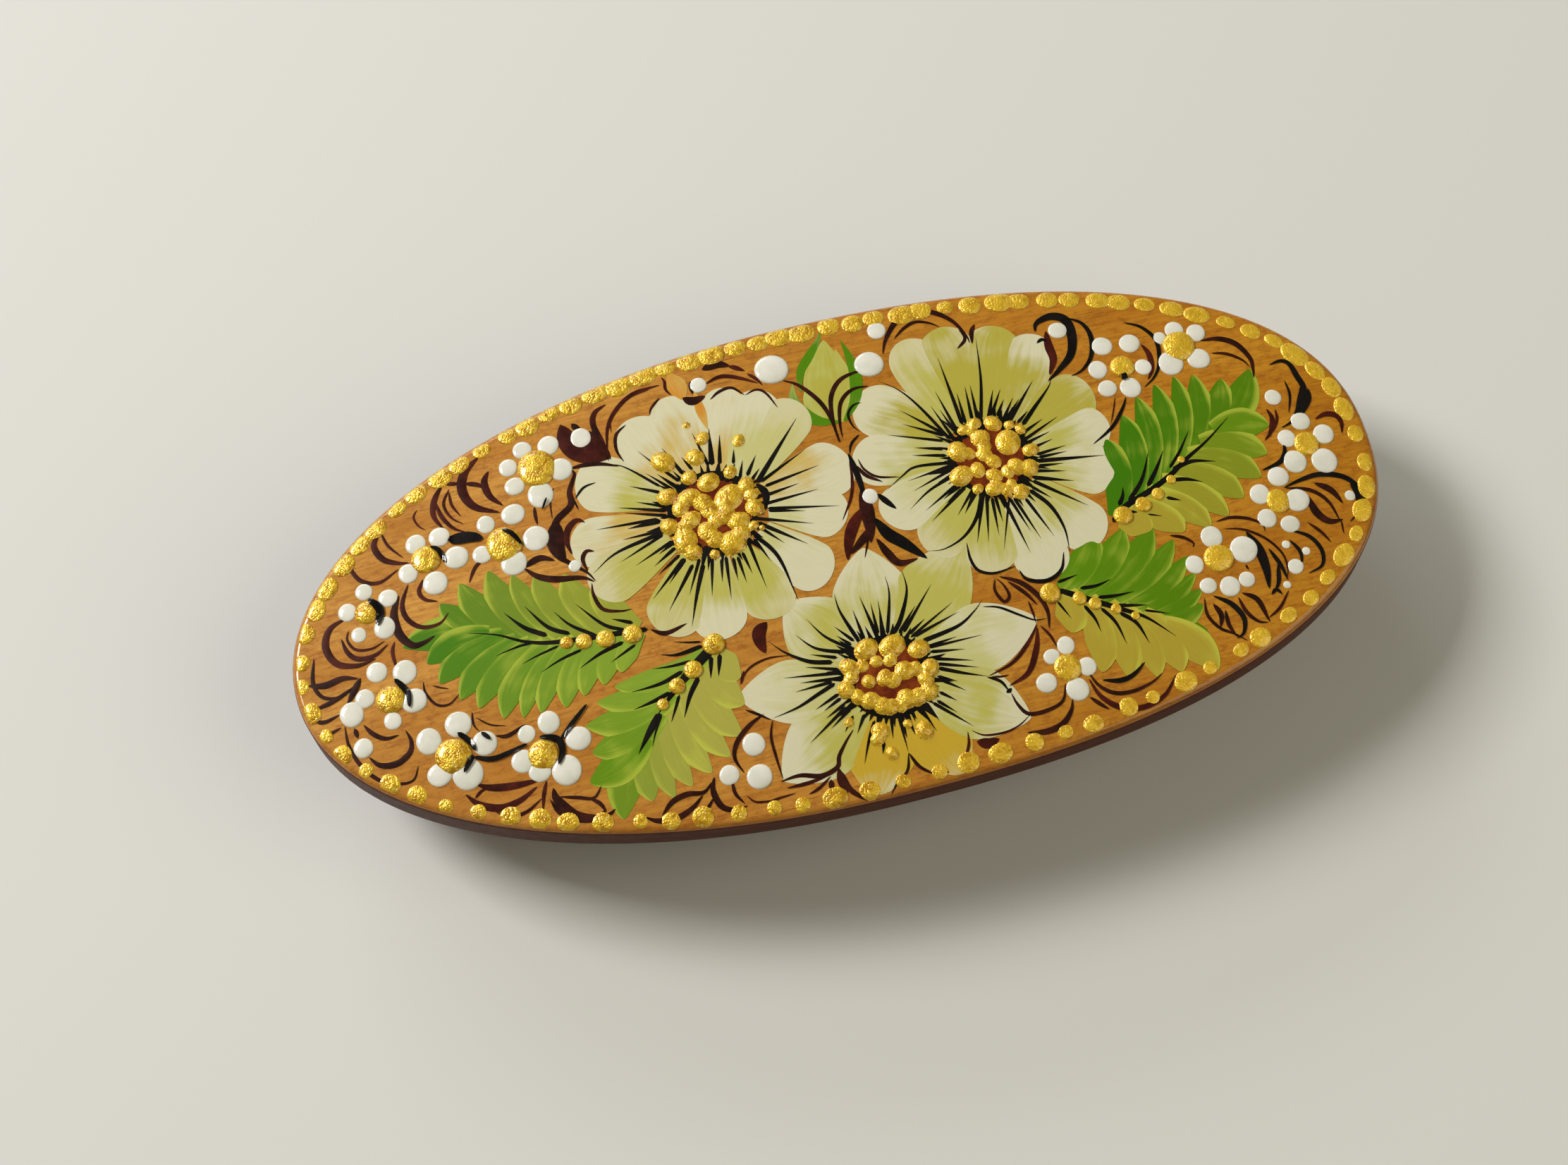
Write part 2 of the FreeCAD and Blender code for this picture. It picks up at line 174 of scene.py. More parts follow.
class Sheet:
    """Collects strips and domes of paint, with what their materials read, and makes one object of them."""

    def __init__(self):
        self.points, self.faces, self.values = [], [], {}
        self.count = 0
        self.layer = 0

    def next_lift(self, lift):
        """Each stroke lies a little above the one before it."""
        self.layer += 1
        return lift + self.layer * LAYER_STEP

    def grid(self, points, around=False, cap=False, **values):
        """Rows of points, joined by quads. around closes each row on itself, and cap fills the first one."""
        rows, columns = points.shape[:2]
        index = np.arange(rows * columns).reshape(rows, columns) + self.count
        if around:
            index = np.concatenate([index, index[:, :1]], 1)
        quads = np.stack([index[:-1, :-1], index[1:, :-1], index[1:, 1:], index[:-1, 1:]], -1)
        self.faces += quads.reshape(-1, 4).tolist()
        if cap:
            self.faces.append(index[0, :columns].tolist())
        self.points.append(points.reshape(-1, 3))
        for name, value in values.items():
            value = np.broadcast_to(value, (rows, columns, np.shape(value)[-1]))
            self.values.setdefault(name, []).append(value.reshape(rows * columns, -1))
        self.count += rows * columns

    def make(self, name, material, slot):
        """The object, riding on the plate's body."""
        mesh = bpy.data.meshes.new(name)
        mesh.from_pydata((np.concatenate(self.points) * MM).tolist(), [], self.faces)
        for key, parts in self.values.items():
            value = np.concatenate(parts).astype(np.float32)
            kind, field = ATTRIBUTE_KINDS[value.shape[1]]
            mesh.attributes.new(key, kind, "POINT").data.foreach_set(field, value.ravel())
        mesh.polygons.foreach_set("use_smooth", [True] * len(mesh.polygons))
        mesh.materials.append(material)
        mesh.update()
        thing = bpy.data.objects.new(name, mesh)
        bpy.context.scene.collection.objects.link(thing)
        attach(thing, BASE)
        return thing


def smooth(low, high, value):
    """0 below low, 1 above high, and a smooth step between."""
    t = np.clip((value - low) / (high - low), 0, 1)
    return t * t * (3 - 2 * t)


def curve_through(points):
    """A smooth open curve through the points, evenly sampled."""
    p = np.array(points, float)
    p = np.concatenate([[2 * p[0] - p[1]], p, [2 * p[-1] - p[-2]]])
    out = []
    for a, b, c, d in zip(p, p[1:], p[2:], p[3:]):
        pieces = max(3, int(np.hypot(*(c - b)) / PATH_STEP))
        t = np.linspace(0, 1, pieces, endpoint=False)[:, None]
        out.append(
            0.5 * (2 * b + (c - a) * t + (2 * a - 5 * b + 4 * c - d) * t**2 + (3 * b - a - 3 * c + d) * t**3)
        )
    return np.concatenate(out + [p[-2:-1]])


def side_of(path):
    """Unit vectors to the left of a path."""
    along = np.gradient(path, axis=0)
    along /= np.maximum(np.hypot(along[:, 0], along[:, 1])[:, None], 1e-9)
    return np.stack([-along[:, 1], along[:, 0]], -1)


def arc(base, tip, bulge=0.0):
    """A path from base to tip that bows out to its left by bulge."""
    base, tip = np.array(base, float), np.array(tip, float)
    t = np.linspace(0, 1, 24)[:, None]
    along = tip - base
    left = np.array([-along[1], along[0]]) / np.hypot(*along)
    return base + along * t + left * bulge * 4 * t * (1 - t)


def dab(sheet, path, width, under, over, load, peak=0.66, root=0.3, point=0.0, lift=PETAL_LIFT):
    """One press of a flat brush along a path: narrow, then wide, then a round or pointed end.

    under and over are the two colours on the brush. load is how much of the second one shows at
    (the base, the tip, the left edge, the right edge).
    """
    run = np.concatenate([[0], np.cumsum(np.hypot(*np.diff(path, axis=0).T))])
    length = run[-1]
    # The rows crowd towards the tip, where the outline turns fastest
    t = 1 - (1 - np.linspace(0, 1, DAB_ROWS)) ** 1.7
    v = np.linspace(-1, 1, DAB_COLUMNS)
    path = np.stack([np.interp(t * length, run, path[:, k]) for k in (0, 1)], -1)
    rise = root + (1 - root) * np.sin(math.pi / 2 * np.clip(t / peak, 0, 1))
    u = np.clip((t - peak) / (1 - peak), 0, 1)
    fall = (1 - point) * np.sqrt(np.clip(1 - u**2, 0, 1)) + point * (1 - u**1.5)
    half = width / 2 * rise * fall
    xy = path[:, None] + side_of(path)[:, None] * (half[:, None] * v)[..., None]
    up = sheet.next_lift(lift) + DAB_CROWN * (1 - v**2) * np.minimum(1, half)[:, None]
    points = on_face(xy[..., 0], xy[..., 1], up)
    at_base, at_tip, at_left, at_right = load
    amount = at_base + (at_tip - at_base) * smooth(0.3, 0.95, t)[:, None]
    amount = amount + at_left * smooth(0.4, 0.95, v) + at_right * smooth(0.4, 0.95, -v)
    # Where the material's streaks are read: along and across the dab, and another place for each dab
    brush = np.stack(
        [
            np.broadcast_to((t * length)[:, None], amount.shape),
            np.broadcast_to(v * width / 2, amount.shape),
            np.full(amount.shape, RNG.uniform(0, 80)),
        ],
        -1,
    )
    sheet.grid(
        points,
        under=np.array(under + (1.0,)),
        over=np.array(over + (1.0,)),
        load=amount[..., None],
        brush=brush,
    )


def over_drops(x, y):
    """Height of the drops already laid, at these points."""
    top = np.zeros_like(x)
    for cx, cy, radius, height in DROPS:
        away = ((x - cx) ** 2 + (y - cy) ** 2) / radius**2
        top = np.maximum(top, height * np.clip(1 - away, 0, 1) ** 0.42)
    return top


def line(sheet, points, width, taper=(0.0, 0.0), lift=LINE_LIFT, peak=0.5, sharp=0.8):
    """One stroke of a fine brush through the points, laid over the drops in its way. taper is how much of
    the width is left at each end, peak where it is widest, and sharp how needle-like the ends are.
    """
    path = curve_through(points)
    run = np.concatenate([[0], np.cumsum(np.hypot(*np.diff(path, axis=0).T))])
    s = run / run[-1]
    start = taper[0] + (1 - taper[0]) * np.sin(math.pi / 2 * np.clip(s / peak, 0, 1)) ** sharp
    end = taper[1] + (1 - taper[1]) * np.sin(math.pi / 2 * np.clip((1 - s) / (1 - peak), 0, 1)) ** sharp
    cap = np.sqrt(np.clip(1 - (1 - np.minimum(s, 1 - s) * run[-1] / (0.35 * width)).clip(0, 1) ** 2, 0, 1))
    half = width / 2 * np.minimum(start, end) * np.maximum(cap, 0.05)
    v = np.linspace(-1, 1, LINE_COLUMNS)
    xy = path[:, None] + side_of(path)[:, None] * (half[:, None] * v)[..., None]
    up = lift + LINE_CROWN * half[:, None] * (1 - v**2) + over_drops(xy[..., 0], xy[..., 1])
    sheet.grid(on_face(xy[..., 0], xy[..., 1], up))


def drop(sheet, x, y, radius, height, tall=1.0, turn=0.0, rough=0.0, lift=0.0, rings=7, around=22):
    """A raised drop of paint with an uneven edge, stretched by tall across the direction of turn."""
    DROPS.append((x, y, radius * 1.05, height + lift))
    angle = np.linspace(0, 2 * math.pi, around, endpoint=False)
    wobble = 1 + sum(
        RNG.uniform(0.4, 1) * EDGE_WOBBLE / k * np.cos(k * angle + RNG.uniform(0, 6.3)) for k in (2, 3, 4)
    )
    r = np.sin(np.linspace(0.1, math.pi / 2, rings))
    profile = np.sqrt(np.clip(1 - r**2, 0, 1)) ** 0.85
    a = radius * r[:, None] * wobble * np.cos(angle)
    b = radius * r[:, None] * wobble * np.sin(angle) * tall
    cosine, sine = math.cos(math.radians(turn)), math.sin(math.radians(turn))
    px, py = x + a * cosine - b * sine, y + a * sine + b * cosine
    lump = np.zeros_like(px)
    if rough:
        for _ in range(ROUGH_WAVES):
            fx, fy = RNG.uniform(-ROUGH_PITCH, ROUGH_PITCH), RNG.uniform(-ROUGH_PITCH, ROUGH_PITCH)
            lump += rough * np.sin(px * fx + py * fy + RNG.uniform(0, 6.3)) / 3
    up = height * profile[:, None] * (1 + lump) - DROP_SINK + lift
    sheet.grid(on_face(px, py, up), around=True, cap=True)


def heap(sheet, lumps):
    """One mass of thick paint, merged out of overlapping lumps given as x, y, radius."""
    low = np.min(lumps, 0)[:2] - HEAP_MARGIN
    high = np.max(lumps, 0)[:2] + HEAP_MARGIN
    sides = [np.arange(low[k], high[k], HEAP_STEP) for k in (0, 1)]
    x, y = np.meshgrid(*sides, indexing="ij")
    total = np.zeros_like(x)
    for cx, cy, radius in lumps:
        turn = RNG.uniform(0, math.pi)
        dx, dy = x - cx, y - cy
        along = dx * math.cos(turn) + dy * math.sin(turn)
        across = dy * math.cos(turn) - dx * math.sin(turn)
        away = ((along / RNG.uniform(1.0, 1.2)) ** 2 + (across / 0.95) ** 2) / (1.04 * radius) ** 2
        total += (min(0.4 * radius + 0.12, 0.5) * np.clip(1 - away, 0, 1) ** 0.6) ** 3
    ripple = 0.02 * np.sin(3.1 * x + 1.7 * np.sin(2.3 * y)) * np.sin(2.7 * y + 1.9 * np.sin(2.9 * x))
    dome = np.cbrt(total)
    height = dome - HEAP_SINK + ripple * smooth(0.1, 0.2, dome)
    # Faces with no paint at any corner are left out again
    start = len(sheet.faces)
    sheet.grid(on_face(x, y, height + HEAP_LIFT))
    flat = total.ravel() == 0
    first = sheet.count - flat.size
    sheet.faces[start:] = [q for q in sheet.faces[start:] if not all(flat[k - first] for k in q)]


def burst(centre, start, reach, count):
    """Wedge-shaped strokes out of a flower's middle, as width and x, y from the tip to the root."""
    strokes = []
    for k in range(count):
        a = 2 * math.pi * (k + RNG.uniform(-0.35, 0.35)) / count
        end = start + reach * RNG.choice((0.25, 0.4, 0.6, 1.0)) * RNG.uniform(0.8, 1.2)
        stroke = [RNG.uniform(0.45, 0.75)]
        for r in (end, start - 1.2):
            stroke += [centre[0] + r * math.cos(a), centre[1] + r * math.sin(a)]
        strokes.append(stroke)
    return strokes


# ------------------------------------------------------------------ materials


class Nodes:
    """A short way to write a procedural material, on the principled shader."""

    def __init__(self, name):
        self.material = bpy.data.materials.new(name)
        self.material.use_nodes = True
        self.tree = self.material.node_tree
        self.shader = self.tree.nodes["Principled BSDF"]

    def add(self, kind, **settings):
        """A new node, with its settings."""
        node = self.tree.nodes.new(kind)
        for key, value in settings.items():
            setattr(node, key, value)
        return node

    def link(self, source, target):
        self.tree.links.new(source, target)

    def value(self, target, source):
        """Links a socket, or sets a plain number or colour."""
        if isinstance(source, bpy.types.NodeSocket):
            self.link(source, target)
        else:
            target.default_value = (*source, 1.0) if isinstance(source, tuple) else source

    def coordinates(self, scale):
        """Positions on the object in millimetres, stretched by scale."""
        place = self.add("ShaderNodeTexCoord")
        mapping = self.add("ShaderNodeMapping")
        self.link(place.outputs["Object"], mapping.inputs["Vector"])
        mapping.inputs["Scale"].default_value = [s / MM for s in scale]
        return mapping.outputs["Vector"]

    def noise(self, vector, scale=1.0, detail=3.0, rough=0.5, warp=0.0):
        node = self.add("ShaderNodeTexNoise")
        self.link(vector, node.inputs["Vector"])
        node.inputs["Scale"].default_value = scale
        node.inputs["Detail"].default_value = detail
        node.inputs["Roughness"].default_value = rough
        node.inputs["Distortion"].default_value = warp
        return node.outputs["Fac"]

    def split(self, kind, source, name):
        """A node that separates a vector or a colour into its parts."""
        node = self.add(kind)
        self.link(source, node.inputs[name])
        return node.outputs

    def along_plate(self):
        """x on the plate, in millimetres."""
        return self.split("ShaderNodeSeparateXYZ", self.coordinates((1, 1, 1)), "Vector")["X"]

    def cells(self, vector, scale):
        """The outputs of a pattern of cells."""
        node = self.add("ShaderNodeTexVoronoi")
        self.link(vector, node.inputs["Vector"])
        node.inputs["Scale"].default_value = scale
        return node.outputs

    def remap(self, source, low, high, to_low=0.0, to_high=1.0, soft=True):
        """Takes low to to_low and high to to_high, and stays there beyond them."""
        node = self.add("ShaderNodeMapRange", interpolation_type="SMOOTHSTEP" if soft else "LINEAR")
        self.link(source, node.inputs["Value"])
        for key, number in zip(("From Min", "From Max", "To Min", "To Max"), (low, high, to_low, to_high)):
            node.inputs[key].default_value = number
        return node.outputs["Result"]

    def maths(self, operation, a, b):
        node = self.add("ShaderNodeMath", operation=operation)
        self.value(node.inputs[0], a)
        self.value(node.inputs[1], b)
        return node.outputs["Value"]

    def mix(self, factor, a, b, blend="MIX"):
        """Colour a, with b mixed or blended in by as much as the factor says."""
        node = self.add("ShaderNodeMix", data_type="RGBA", blend_type=blend)
        self.value(node.inputs["Factor"], factor)
        # The colour sockets of this node share their names with its number and vector ones
        self.value(node.inputs[6], a)
        self.value(node.inputs[7], b)
        return node.outputs[2]

    def multiply(self, factor, colour, tint):
        """The colour, tinted by as much as the factor says."""
        return self.mix(factor, colour, self.mix(1.0, colour, tint, "MULTIPLY"))

    def attribute(self, name, output="Color"):
        node = self.add("ShaderNodeAttribute", attribute_name=name)
        return node.outputs[output]

    def bump(self, height, distance, strength=1.0):
        """A normal for relief up to distance high, in millimetres."""
        node = self.add("ShaderNodeBump")
        self.link(height, node.inputs["Height"])
        node.inputs["Distance"].default_value = distance * MM
        node.inputs["Strength"].default_value = strength
        return node.outputs["Normal"]

    def finish(self, colour, roughness=0.4, normal=None, **sockets):
        """Connects the shader. sockets are more of its inputs, with _ for each space in their names."""
        self.value(self.shader.inputs["Base Color"], colour)
        self.value(self.shader.inputs["Roughness"], roughness)
        if normal is not None:
            self.link(normal, self.shader.inputs["Normal"])
        for key, number in sockets.items():
            self.shader.inputs[key.replace("_", " ")].default_value = number
        return self.material


SIDE_FINISH = {"Coat_Weight": 0.05, "Coat_Roughness": 0.3, "Specular_IOR_Level": 0.1}
LACQUER = {"Coat_Weight": 1.0, "Coat_Roughness": 0.07, "Coat_IOR": 1.45, "Specular_IOR_Level": 0.1}


def wood_material(name, stain_and_shade, lacquer):
    """Honey-stained hardwood: growth bands, fibres, pores and flecks along the plate, more golden towards
    the right end, and darker at the rounded edge, partly stain and partly painted shade. The tint passed in
    colours it all; the side's is a dark stain that also stands in for the shade on the side.
    """
    m = Nodes(name)
    bands = m.noise(m.coordinates((0.018, 0.22, 0.22)), detail=5, rough=0.55, warp=0.6)
    fibre = m.noise(m.coordinates((0.10, 3.2, 3.2)), detail=4, rough=0.65)
    pores = m.noise(m.coordinates((0.42, 5.5, 5.5)), detail=2, rough=0.5)
    cloud = m.noise(m.coordinates((0.035, 0.05, 0.05)), detail=2)
    colour = m.mix(m.remap(bands, 0.3, 0.7), srgb(194, 130, 48), srgb(221, 164, 78))
    colour = m.mix(m.remap(cloud, 0.35, 0.65, 0.0, 0.55), colour, srgb(190, 130, 43))
    colour = m.mix(m.remap(fibre, 0.35, 0.68, 0.0, 0.5), colour, srgb(164, 100, 35))
    colour = m.mix(m.remap(pores, 0.62, 0.74, 0.0, 0.5), colour, srgb(104, 48, 16))
    flecks = m.noise(m.coordinates((0.55, 0.9, 0.9)), scale=1.6, detail=5, rough=0.75)
    colour = m.mix(m.remap(flecks, 0.46, 0.67, 0.0, 0.45), colour, srgb(136, 68, 22))
    x = m.along_plate()
    colour = m.multiply(m.remap(x, -45, 5, soft=False), colour, (0.9, 0.84, 0.6))
    colour = m.multiply(m.remap(x, -10, 45, soft=False), colour, (1.02, 1.0, 0.45))
    # Darker towards the rounded edge and side: partly a stain, partly painted shade
    edge_stain_and_shade = m.maths("MULTIPLY", m.attribute("edge", "Fac"), 0.6)
    colour = m.mix(edge_stain_and_shade, colour, srgb(128, 62, 26))
    waves = m.noise(m.coordinates((0.12, 0.16, 0.16)), detail=2)
    normal = m.bump(waves, 0.05, 0.5)
    colour = m.mix(1.0, colour, stain_and_shade, "MULTIPLY")
    return m.finish(colour, m.remap(fibre, 0.3, 0.7, 0.42, 0.55), normal, **lacquer)


def brushed_paint(name, contrast):
    """Paint laid on with a brush that carries two colours, blotched and streaked along each stroke."""
    m = Nodes(name)
    brush = m.attribute("brush", "Vector")
    stretch = m.add("ShaderNodeMapping")
    m.link(brush, stretch.inputs["Vector"])
    stretch.inputs["Scale"].default_value = (0.16, 2.2, 1.0)
    streaks = m.noise(stretch.outputs["Vector"], scale=1.0, detail=3, rough=0.55)
    bristle = m.noise(stretch.outputs["Vector"], scale=3.2, detail=2, rough=0.6)
    blotch = m.noise(m.coordinates((0.28, 0.28, 0.28)), detail=2)
    streaked = m.remap(streaks, 0.25, 0.75, -contrast, contrast, soft=False)
    blotched = m.remap(blotch, 0.3, 0.7, -0.3, 0.3, soft=False)
    amount = m.maths("ADD", m.attribute("load", "Fac"), m.maths("ADD", streaked, blotched))
    colour = m.mix(m.remap(amount, 0.1, 0.9), m.attribute("under"), m.attribute("over"))
    colour = m.multiply(m.remap(bristle, 0.35, 0.7, 0.0, 0.1), colour, (0.6, 0.6, 0.5))
    normal = m.bump(bristle, 0.01, 0.5)
    return m.finish(colour, 0.4, normal, **LACQUER)


def line_paint(name, dark, light):
    """Thin dark paint that lets a little of the ground through."""
    m = Nodes(name)
    thin = m.noise(m.coordinates((0.5, 0.5, 0.5)), detail=4, rough=0.7)
    colour = m.mix(m.remap(thin, 0.35, 0.75), dark, light)
    return m.finish(colour, m.remap(thin, 0.3, 0.7, 0.3, 0.45), **LACQUER)


def white_paint():
    """Thick warm white, faintly mottled."""
    m = Nodes("white_dot_paint")
    mottle = m.noise(m.coordinates((0.6, 0.6, 0.6)), detail=3)
    colour = m.mix(m.remap(mottle, 0.3, 0.7), srgb(222, 222, 208), srgb(236, 235, 224))
    glow = {"Subsurface_Weight": 0.12, "Subsurface_Scale": 0.0004, "Subsurface_Radius": (1.0, 0.8, 0.6)}
    return m.finish(colour, 0.35, m.bump(mottle, 0.03, 0.4), **glow, **LACQUER)


def gold_paint():
    """Metallic flake in a yellow binder, laid on thick, with painted glints and painted light towards the
    right end.
    """
    m = Nodes("gold_paint")
    place = m.coordinates((1, 1, 1))
    flakes = m.cells(place, 5.0)
    grain = m.noise(place, scale=1.3, detail=4, rough=0.62)
    painted_glint = m.split("ShaderNodeSeparateColor", flakes["Color"], "Color")[0]
    colour = m.mix(m.remap(grain, 0.36, 0.56), srgb(196, 140, 6), srgb(234, 190, 40))
    # Painted glints: random flakes lightened towards pale yellow
    colour = m.mix(m.remap(painted_glint, 0.75, 1.0, 0.0, 0.5), colour, srgb(250, 226, 120))
    # Painted highlight: the gold lightened towards the right end
    colour = m.mix(m.remap(m.along_plate(), -20, 45, 0.0, 0.6), colour, srgb(252, 206, 50))
    facets = m.maths("MULTIPLY", flakes["Distance"], -0.35)
    normal = m.bump(m.maths("ADD", facets, grain), 0.2, 0.75)
    shine = {"Metallic": 0.3, "Coat_Weight": 0.7, "Coat_Roughness": 0.06}
    return m.finish(colour, m.remap(grain, 0.3, 0.7, 0.24, 0.36), normal, **shine)


def metal(name, colour, dull, rough, lines=(0.05, 3.0, 3.0)):
    """Plated sheet steel with faint rolling marks and handling haze."""
    m = Nodes(name)
    marks = m.noise(m.coordinates(lines), detail=4, rough=0.6)
    haze = m.noise(m.coordinates((0.15, 0.15, 0.15)), detail=3)
    tone = m.mix(m.remap(haze, 0.35, 0.75, 0.0, 0.6), colour, dull)
    uneven = m.maths("ADD", m.maths("MULTIPLY", marks, 0.6), m.maths("MULTIPLY", haze, 0.4))
    roughness = m.remap(uneven, 0.3, 0.7, rough, rough + 0.16)
    return m.finish(tone, roughness, m.bump(marks, 0.01, 0.5), Metallic=1.0)


# ------------------------------------------------------------------ the plate


def outline(count):
    """Evenly spaced points round the plate's edge, counter-clockwise, and their inward normals."""
    a = np.linspace(0, 2 * math.pi, OUTLINE_STEPS, endpoint=False)
    power = 2 / fullness(np.cos(a))
    x = HALF_LENGTH * np.sign(np.cos(a)) * np.abs(np.cos(a)) ** power
    y = HALF_WIDTH * np.sign(np.sin(a)) * np.abs(np.sin(a)) ** power
    ring = np.stack([x, y], -1)
    closed = np.concatenate([ring, ring[:1]])
    run = np.concatenate([[0], np.cumsum(np.hypot(*np.diff(closed, axis=0).T))])
    even = np.linspace(0, run[-1], count, endpoint=False)
    even = np.stack([np.interp(even, run, closed[:, k]) for k in (0, 1)], -1)
    along = np.roll(even, -1, 0) - np.roll(even, 1, 0)
    along /= np.hypot(along[:, 0], along[:, 1])[:, None]
    return even, np.stack([-along[:, 1], along[:, 0]], -1)


def build_plate(face_wood, side_wood):
    """The arched plate: a finely divided face, its rounded edge, the side, and the back."""
    sheet = Sheet()
    edge, inward = outline(EDGE_POINTS)
    rows, wall = [], []

    def row(xy, z, side):
        """One ring of the mesh. side says how much of the darker edge colour it gets, partly stain and partly
        painted shade.
        """
        rows.append(np.concatenate([xy, z[:, None]], -1))
        wall.append(np.full((len(xy), 1), side))

    face = edge + TOP_ROUNDING * inward
    for share in np.linspace(SMALLEST_RING, 1, FACE_ROWS):
        row(face * share, face_z(*(face * share).T), 0.0)
    for a in np.linspace(0, math.pi / 2, TOP_ROUNDING_ROWS)[1:]:
        xy = edge + TOP_ROUNDING * (1 - math.sin(a)) * inward
        row(xy, face_z(*face.T) - TOP_ROUNDING * (1 - math.cos(a)), (a / 1.6) ** 1.5)
    low = back_z(edge[:, 0]) + BACK_ROUNDING
    high = rows[-1][:, 2]
    for share in np.linspace(0, 1, SIDE_ROWS + 1)[1:]:
        row(edge, high + (low - high) * share, 1.0)
    for a in np.linspace(0, math.pi / 2, BACK_ROUNDING_ROWS)[1:]:
        xy = edge + BACK_ROUNDING * (1 - math.cos(a)) * inward
        row(xy, low - BACK_ROUNDING * math.sin(a), 1.0)
    under = edge + BACK_ROUNDING * inward
    for share in np.linspace(1, SMALLEST_RING, BACK_ROWS)[1:]:
        row(under * share, back_z(under[:, 0] * share), 0.35)
    points = np.array(rows)
    sheet.grid(points, around=True, cap=True, edge=np.array(wall))
    last = sheet.count - len(edge)
    sheet.faces.append([last + k for k in range(len(edge))][::-1])
    plate = sheet.make("plate_body", face_wood, "lacquered_wood")
    plate.data.materials.append(side_wood)
    for face in plate.data.polygons:
        face.material_index = int(face.normal.z < SIDE_SLOPE)
    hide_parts("wooden_plate")


# ------------------------------------------------------------------ the painting

CREAM = srgb(220, 216, 182)
WARM_WHITE = srgb(214, 207, 162)
PALE_GREEN = srgb(204, 200, 132)
YELLOW_GREEN = srgb(192, 187, 92)
OLIVE = srgb(184, 174, 70)
HONEY = srgb(208, 180, 96)
GOLDEN = srgb(204, 170, 50)
ORANGE = srgb(214, 140, 40)
BRIGHT_GREEN = srgb(66, 128, 0)
WARM_GREEN = srgb(90, 134, 0)
DEEP_GREEN = srgb(40, 78, 0)
MID_GREEN = srgb(98, 146, 4)
LIGHT_GREEN = srgb(142, 172, 50)
LEAF_OLIVE = srgb(170, 172, 62)
LEAF_OCHRE = srgb(190, 168, 56)
LEAF_STRAW = srgb(186, 180, 80)
LEAF_LIGHT = srgb(200, 208, 76)

# Petals: base x, y, tip x, y, width, share of white, and the colour under the white. In the left and right
# flowers, two that follow each other make one notched petal.
LEFT_CENTRE = (-10.3, 6.2)
LEFT_PETALS = [
    (-14.8, 6.5, -23.4, 6.5, 5.2, 0.6, HONEY),
    (-14.3, 8.7, -21.6, 12.6, 6.0, 0.8, YELLOW_GREEN),
    (-11.5, 9.0, -15.7, 17.4, 5.4, 0.7, HONEY),
    (-10.6, 9.0, -12.2, 18.7, 4.9, 0.65, HONEY),
    (-8.8, 9.0, -6.1, 18.2, 4.8, 0.8, HONEY),
    (-8.0, 9.0, -3.3, 17.2, 5.0, 0.7, PALE_GREEN),
    (-6.0, 8.5, 0.0, 14.9, 5.2, 0.5, PALE_GREEN),
    (-5.5, 7.0, 2.9, 8.3, 6.0, 0.7, HONEY),
    (-5.5, 5.0, 1.2, 2.6, 5.0, 0.8, PALE_GREEN),
    (-6.5, 3.5, -1.6, -2.5, 5.2, 0.9, PALE_GREEN),
    (-8.8, 2.0, -7.3, -5.1, 5.0, 0.45, YELLOW_GREEN),
    (-10.8, 2.0, -12.2, -5.8, 5.2, 0.7, YELLOW_GREEN),
    (-12.8, 3.0, -17.2, -3.9, 5.5, 0.3, YELLOW_GREEN),
    (-14.5, 4.3, -22.3, 1.4, 5.2, 0.5, YELLOW_GREEN),
]
RIGHT_CENTRE = (15.3, 5.0)
RIGHT_PETALS = [
    (12.3, 8.0, 4.6, 13.4, 5.8, 0.55, OLIVE),
    (12.0, 6.5, 3.1, 8.1, 5.5, 0.7, YELLOW_GREEN),
    (13.6, 9.0, 10.9, 18.9, 5.2, 0.5, YELLOW_GREEN),
    (14.8, 9.0, 14.0, 19.3, 5.6, 0.15, OLIVE),
    (16.8, 9.0, 19.6, 18.2, 5.6, 0.15, OLIVE),
    (18.0, 8.5, 22.6, 16.6, 5.0, 0.55, OLIVE),
    (19.0, 6.5, 26.2, 9.8, 5.6, 0.2, OLIVE),
    (19.0, 5.3, 26.6, 6.6, 5.0, 0.7, YELLOW_GREEN),
    (19.0, 3.4, 25.8, 0.8, 5.2, 0.75, YELLOW_GREEN),
    (18.0, 2.0, 23.0, -4.9, 5.4, 0.7, YELLOW_GREEN),
    (16.0, 0.8, 17.0, -7.5, 5.4, 0.85, PALE_GREEN),
    (14.2, 1.2, 12.7, -5.8, 5.0, 0.5, YELLOW_GREEN),
    (12.6, 2.6, 7.3, -2.3, 5.0, 0.45, YELLOW_GREEN),
    (11.8, 4.0, 4.5, 1.3, 5.0, 0.85, PALE_GREEN),
]
BOTTOM_CENTRE = (1.0, -12.8)
BOTTOM_PETALS = [
    (2.2, -15.5, 5.2, -22.9, 6.0, 0.1, GOLDEN),
    (-0.2, -15.5, -2.9, -23.0, 6.2, 0.12, GOLDEN),
    (-2.2, -15.0, -10.3, -19.5, 6.6, 0.6, YELLOW_GREEN),
    (-3.0, -12.6, -12.3, -11.3, 5.8, 0.7, PALE_GREEN),
    (-1.6, -10.4, -6.2, -3.9, 6.8, 0.6, YELLOW_GREEN),
    (1.0, -9.6, 1.8, -0.6, 7.0, 0.65, YELLOW_GREEN),
    (3.2, -10.0, 10.5, -2.3, 6.8, 0.3, YELLOW_GREEN),
    (4.6, -11.8, 15.0, -10.8, 6.4, 0.6, PALE_GREEN),
    (3.8, -14.6, 12.0, -19.4, 6.6, 0.6, YELLOW_GREEN),
]

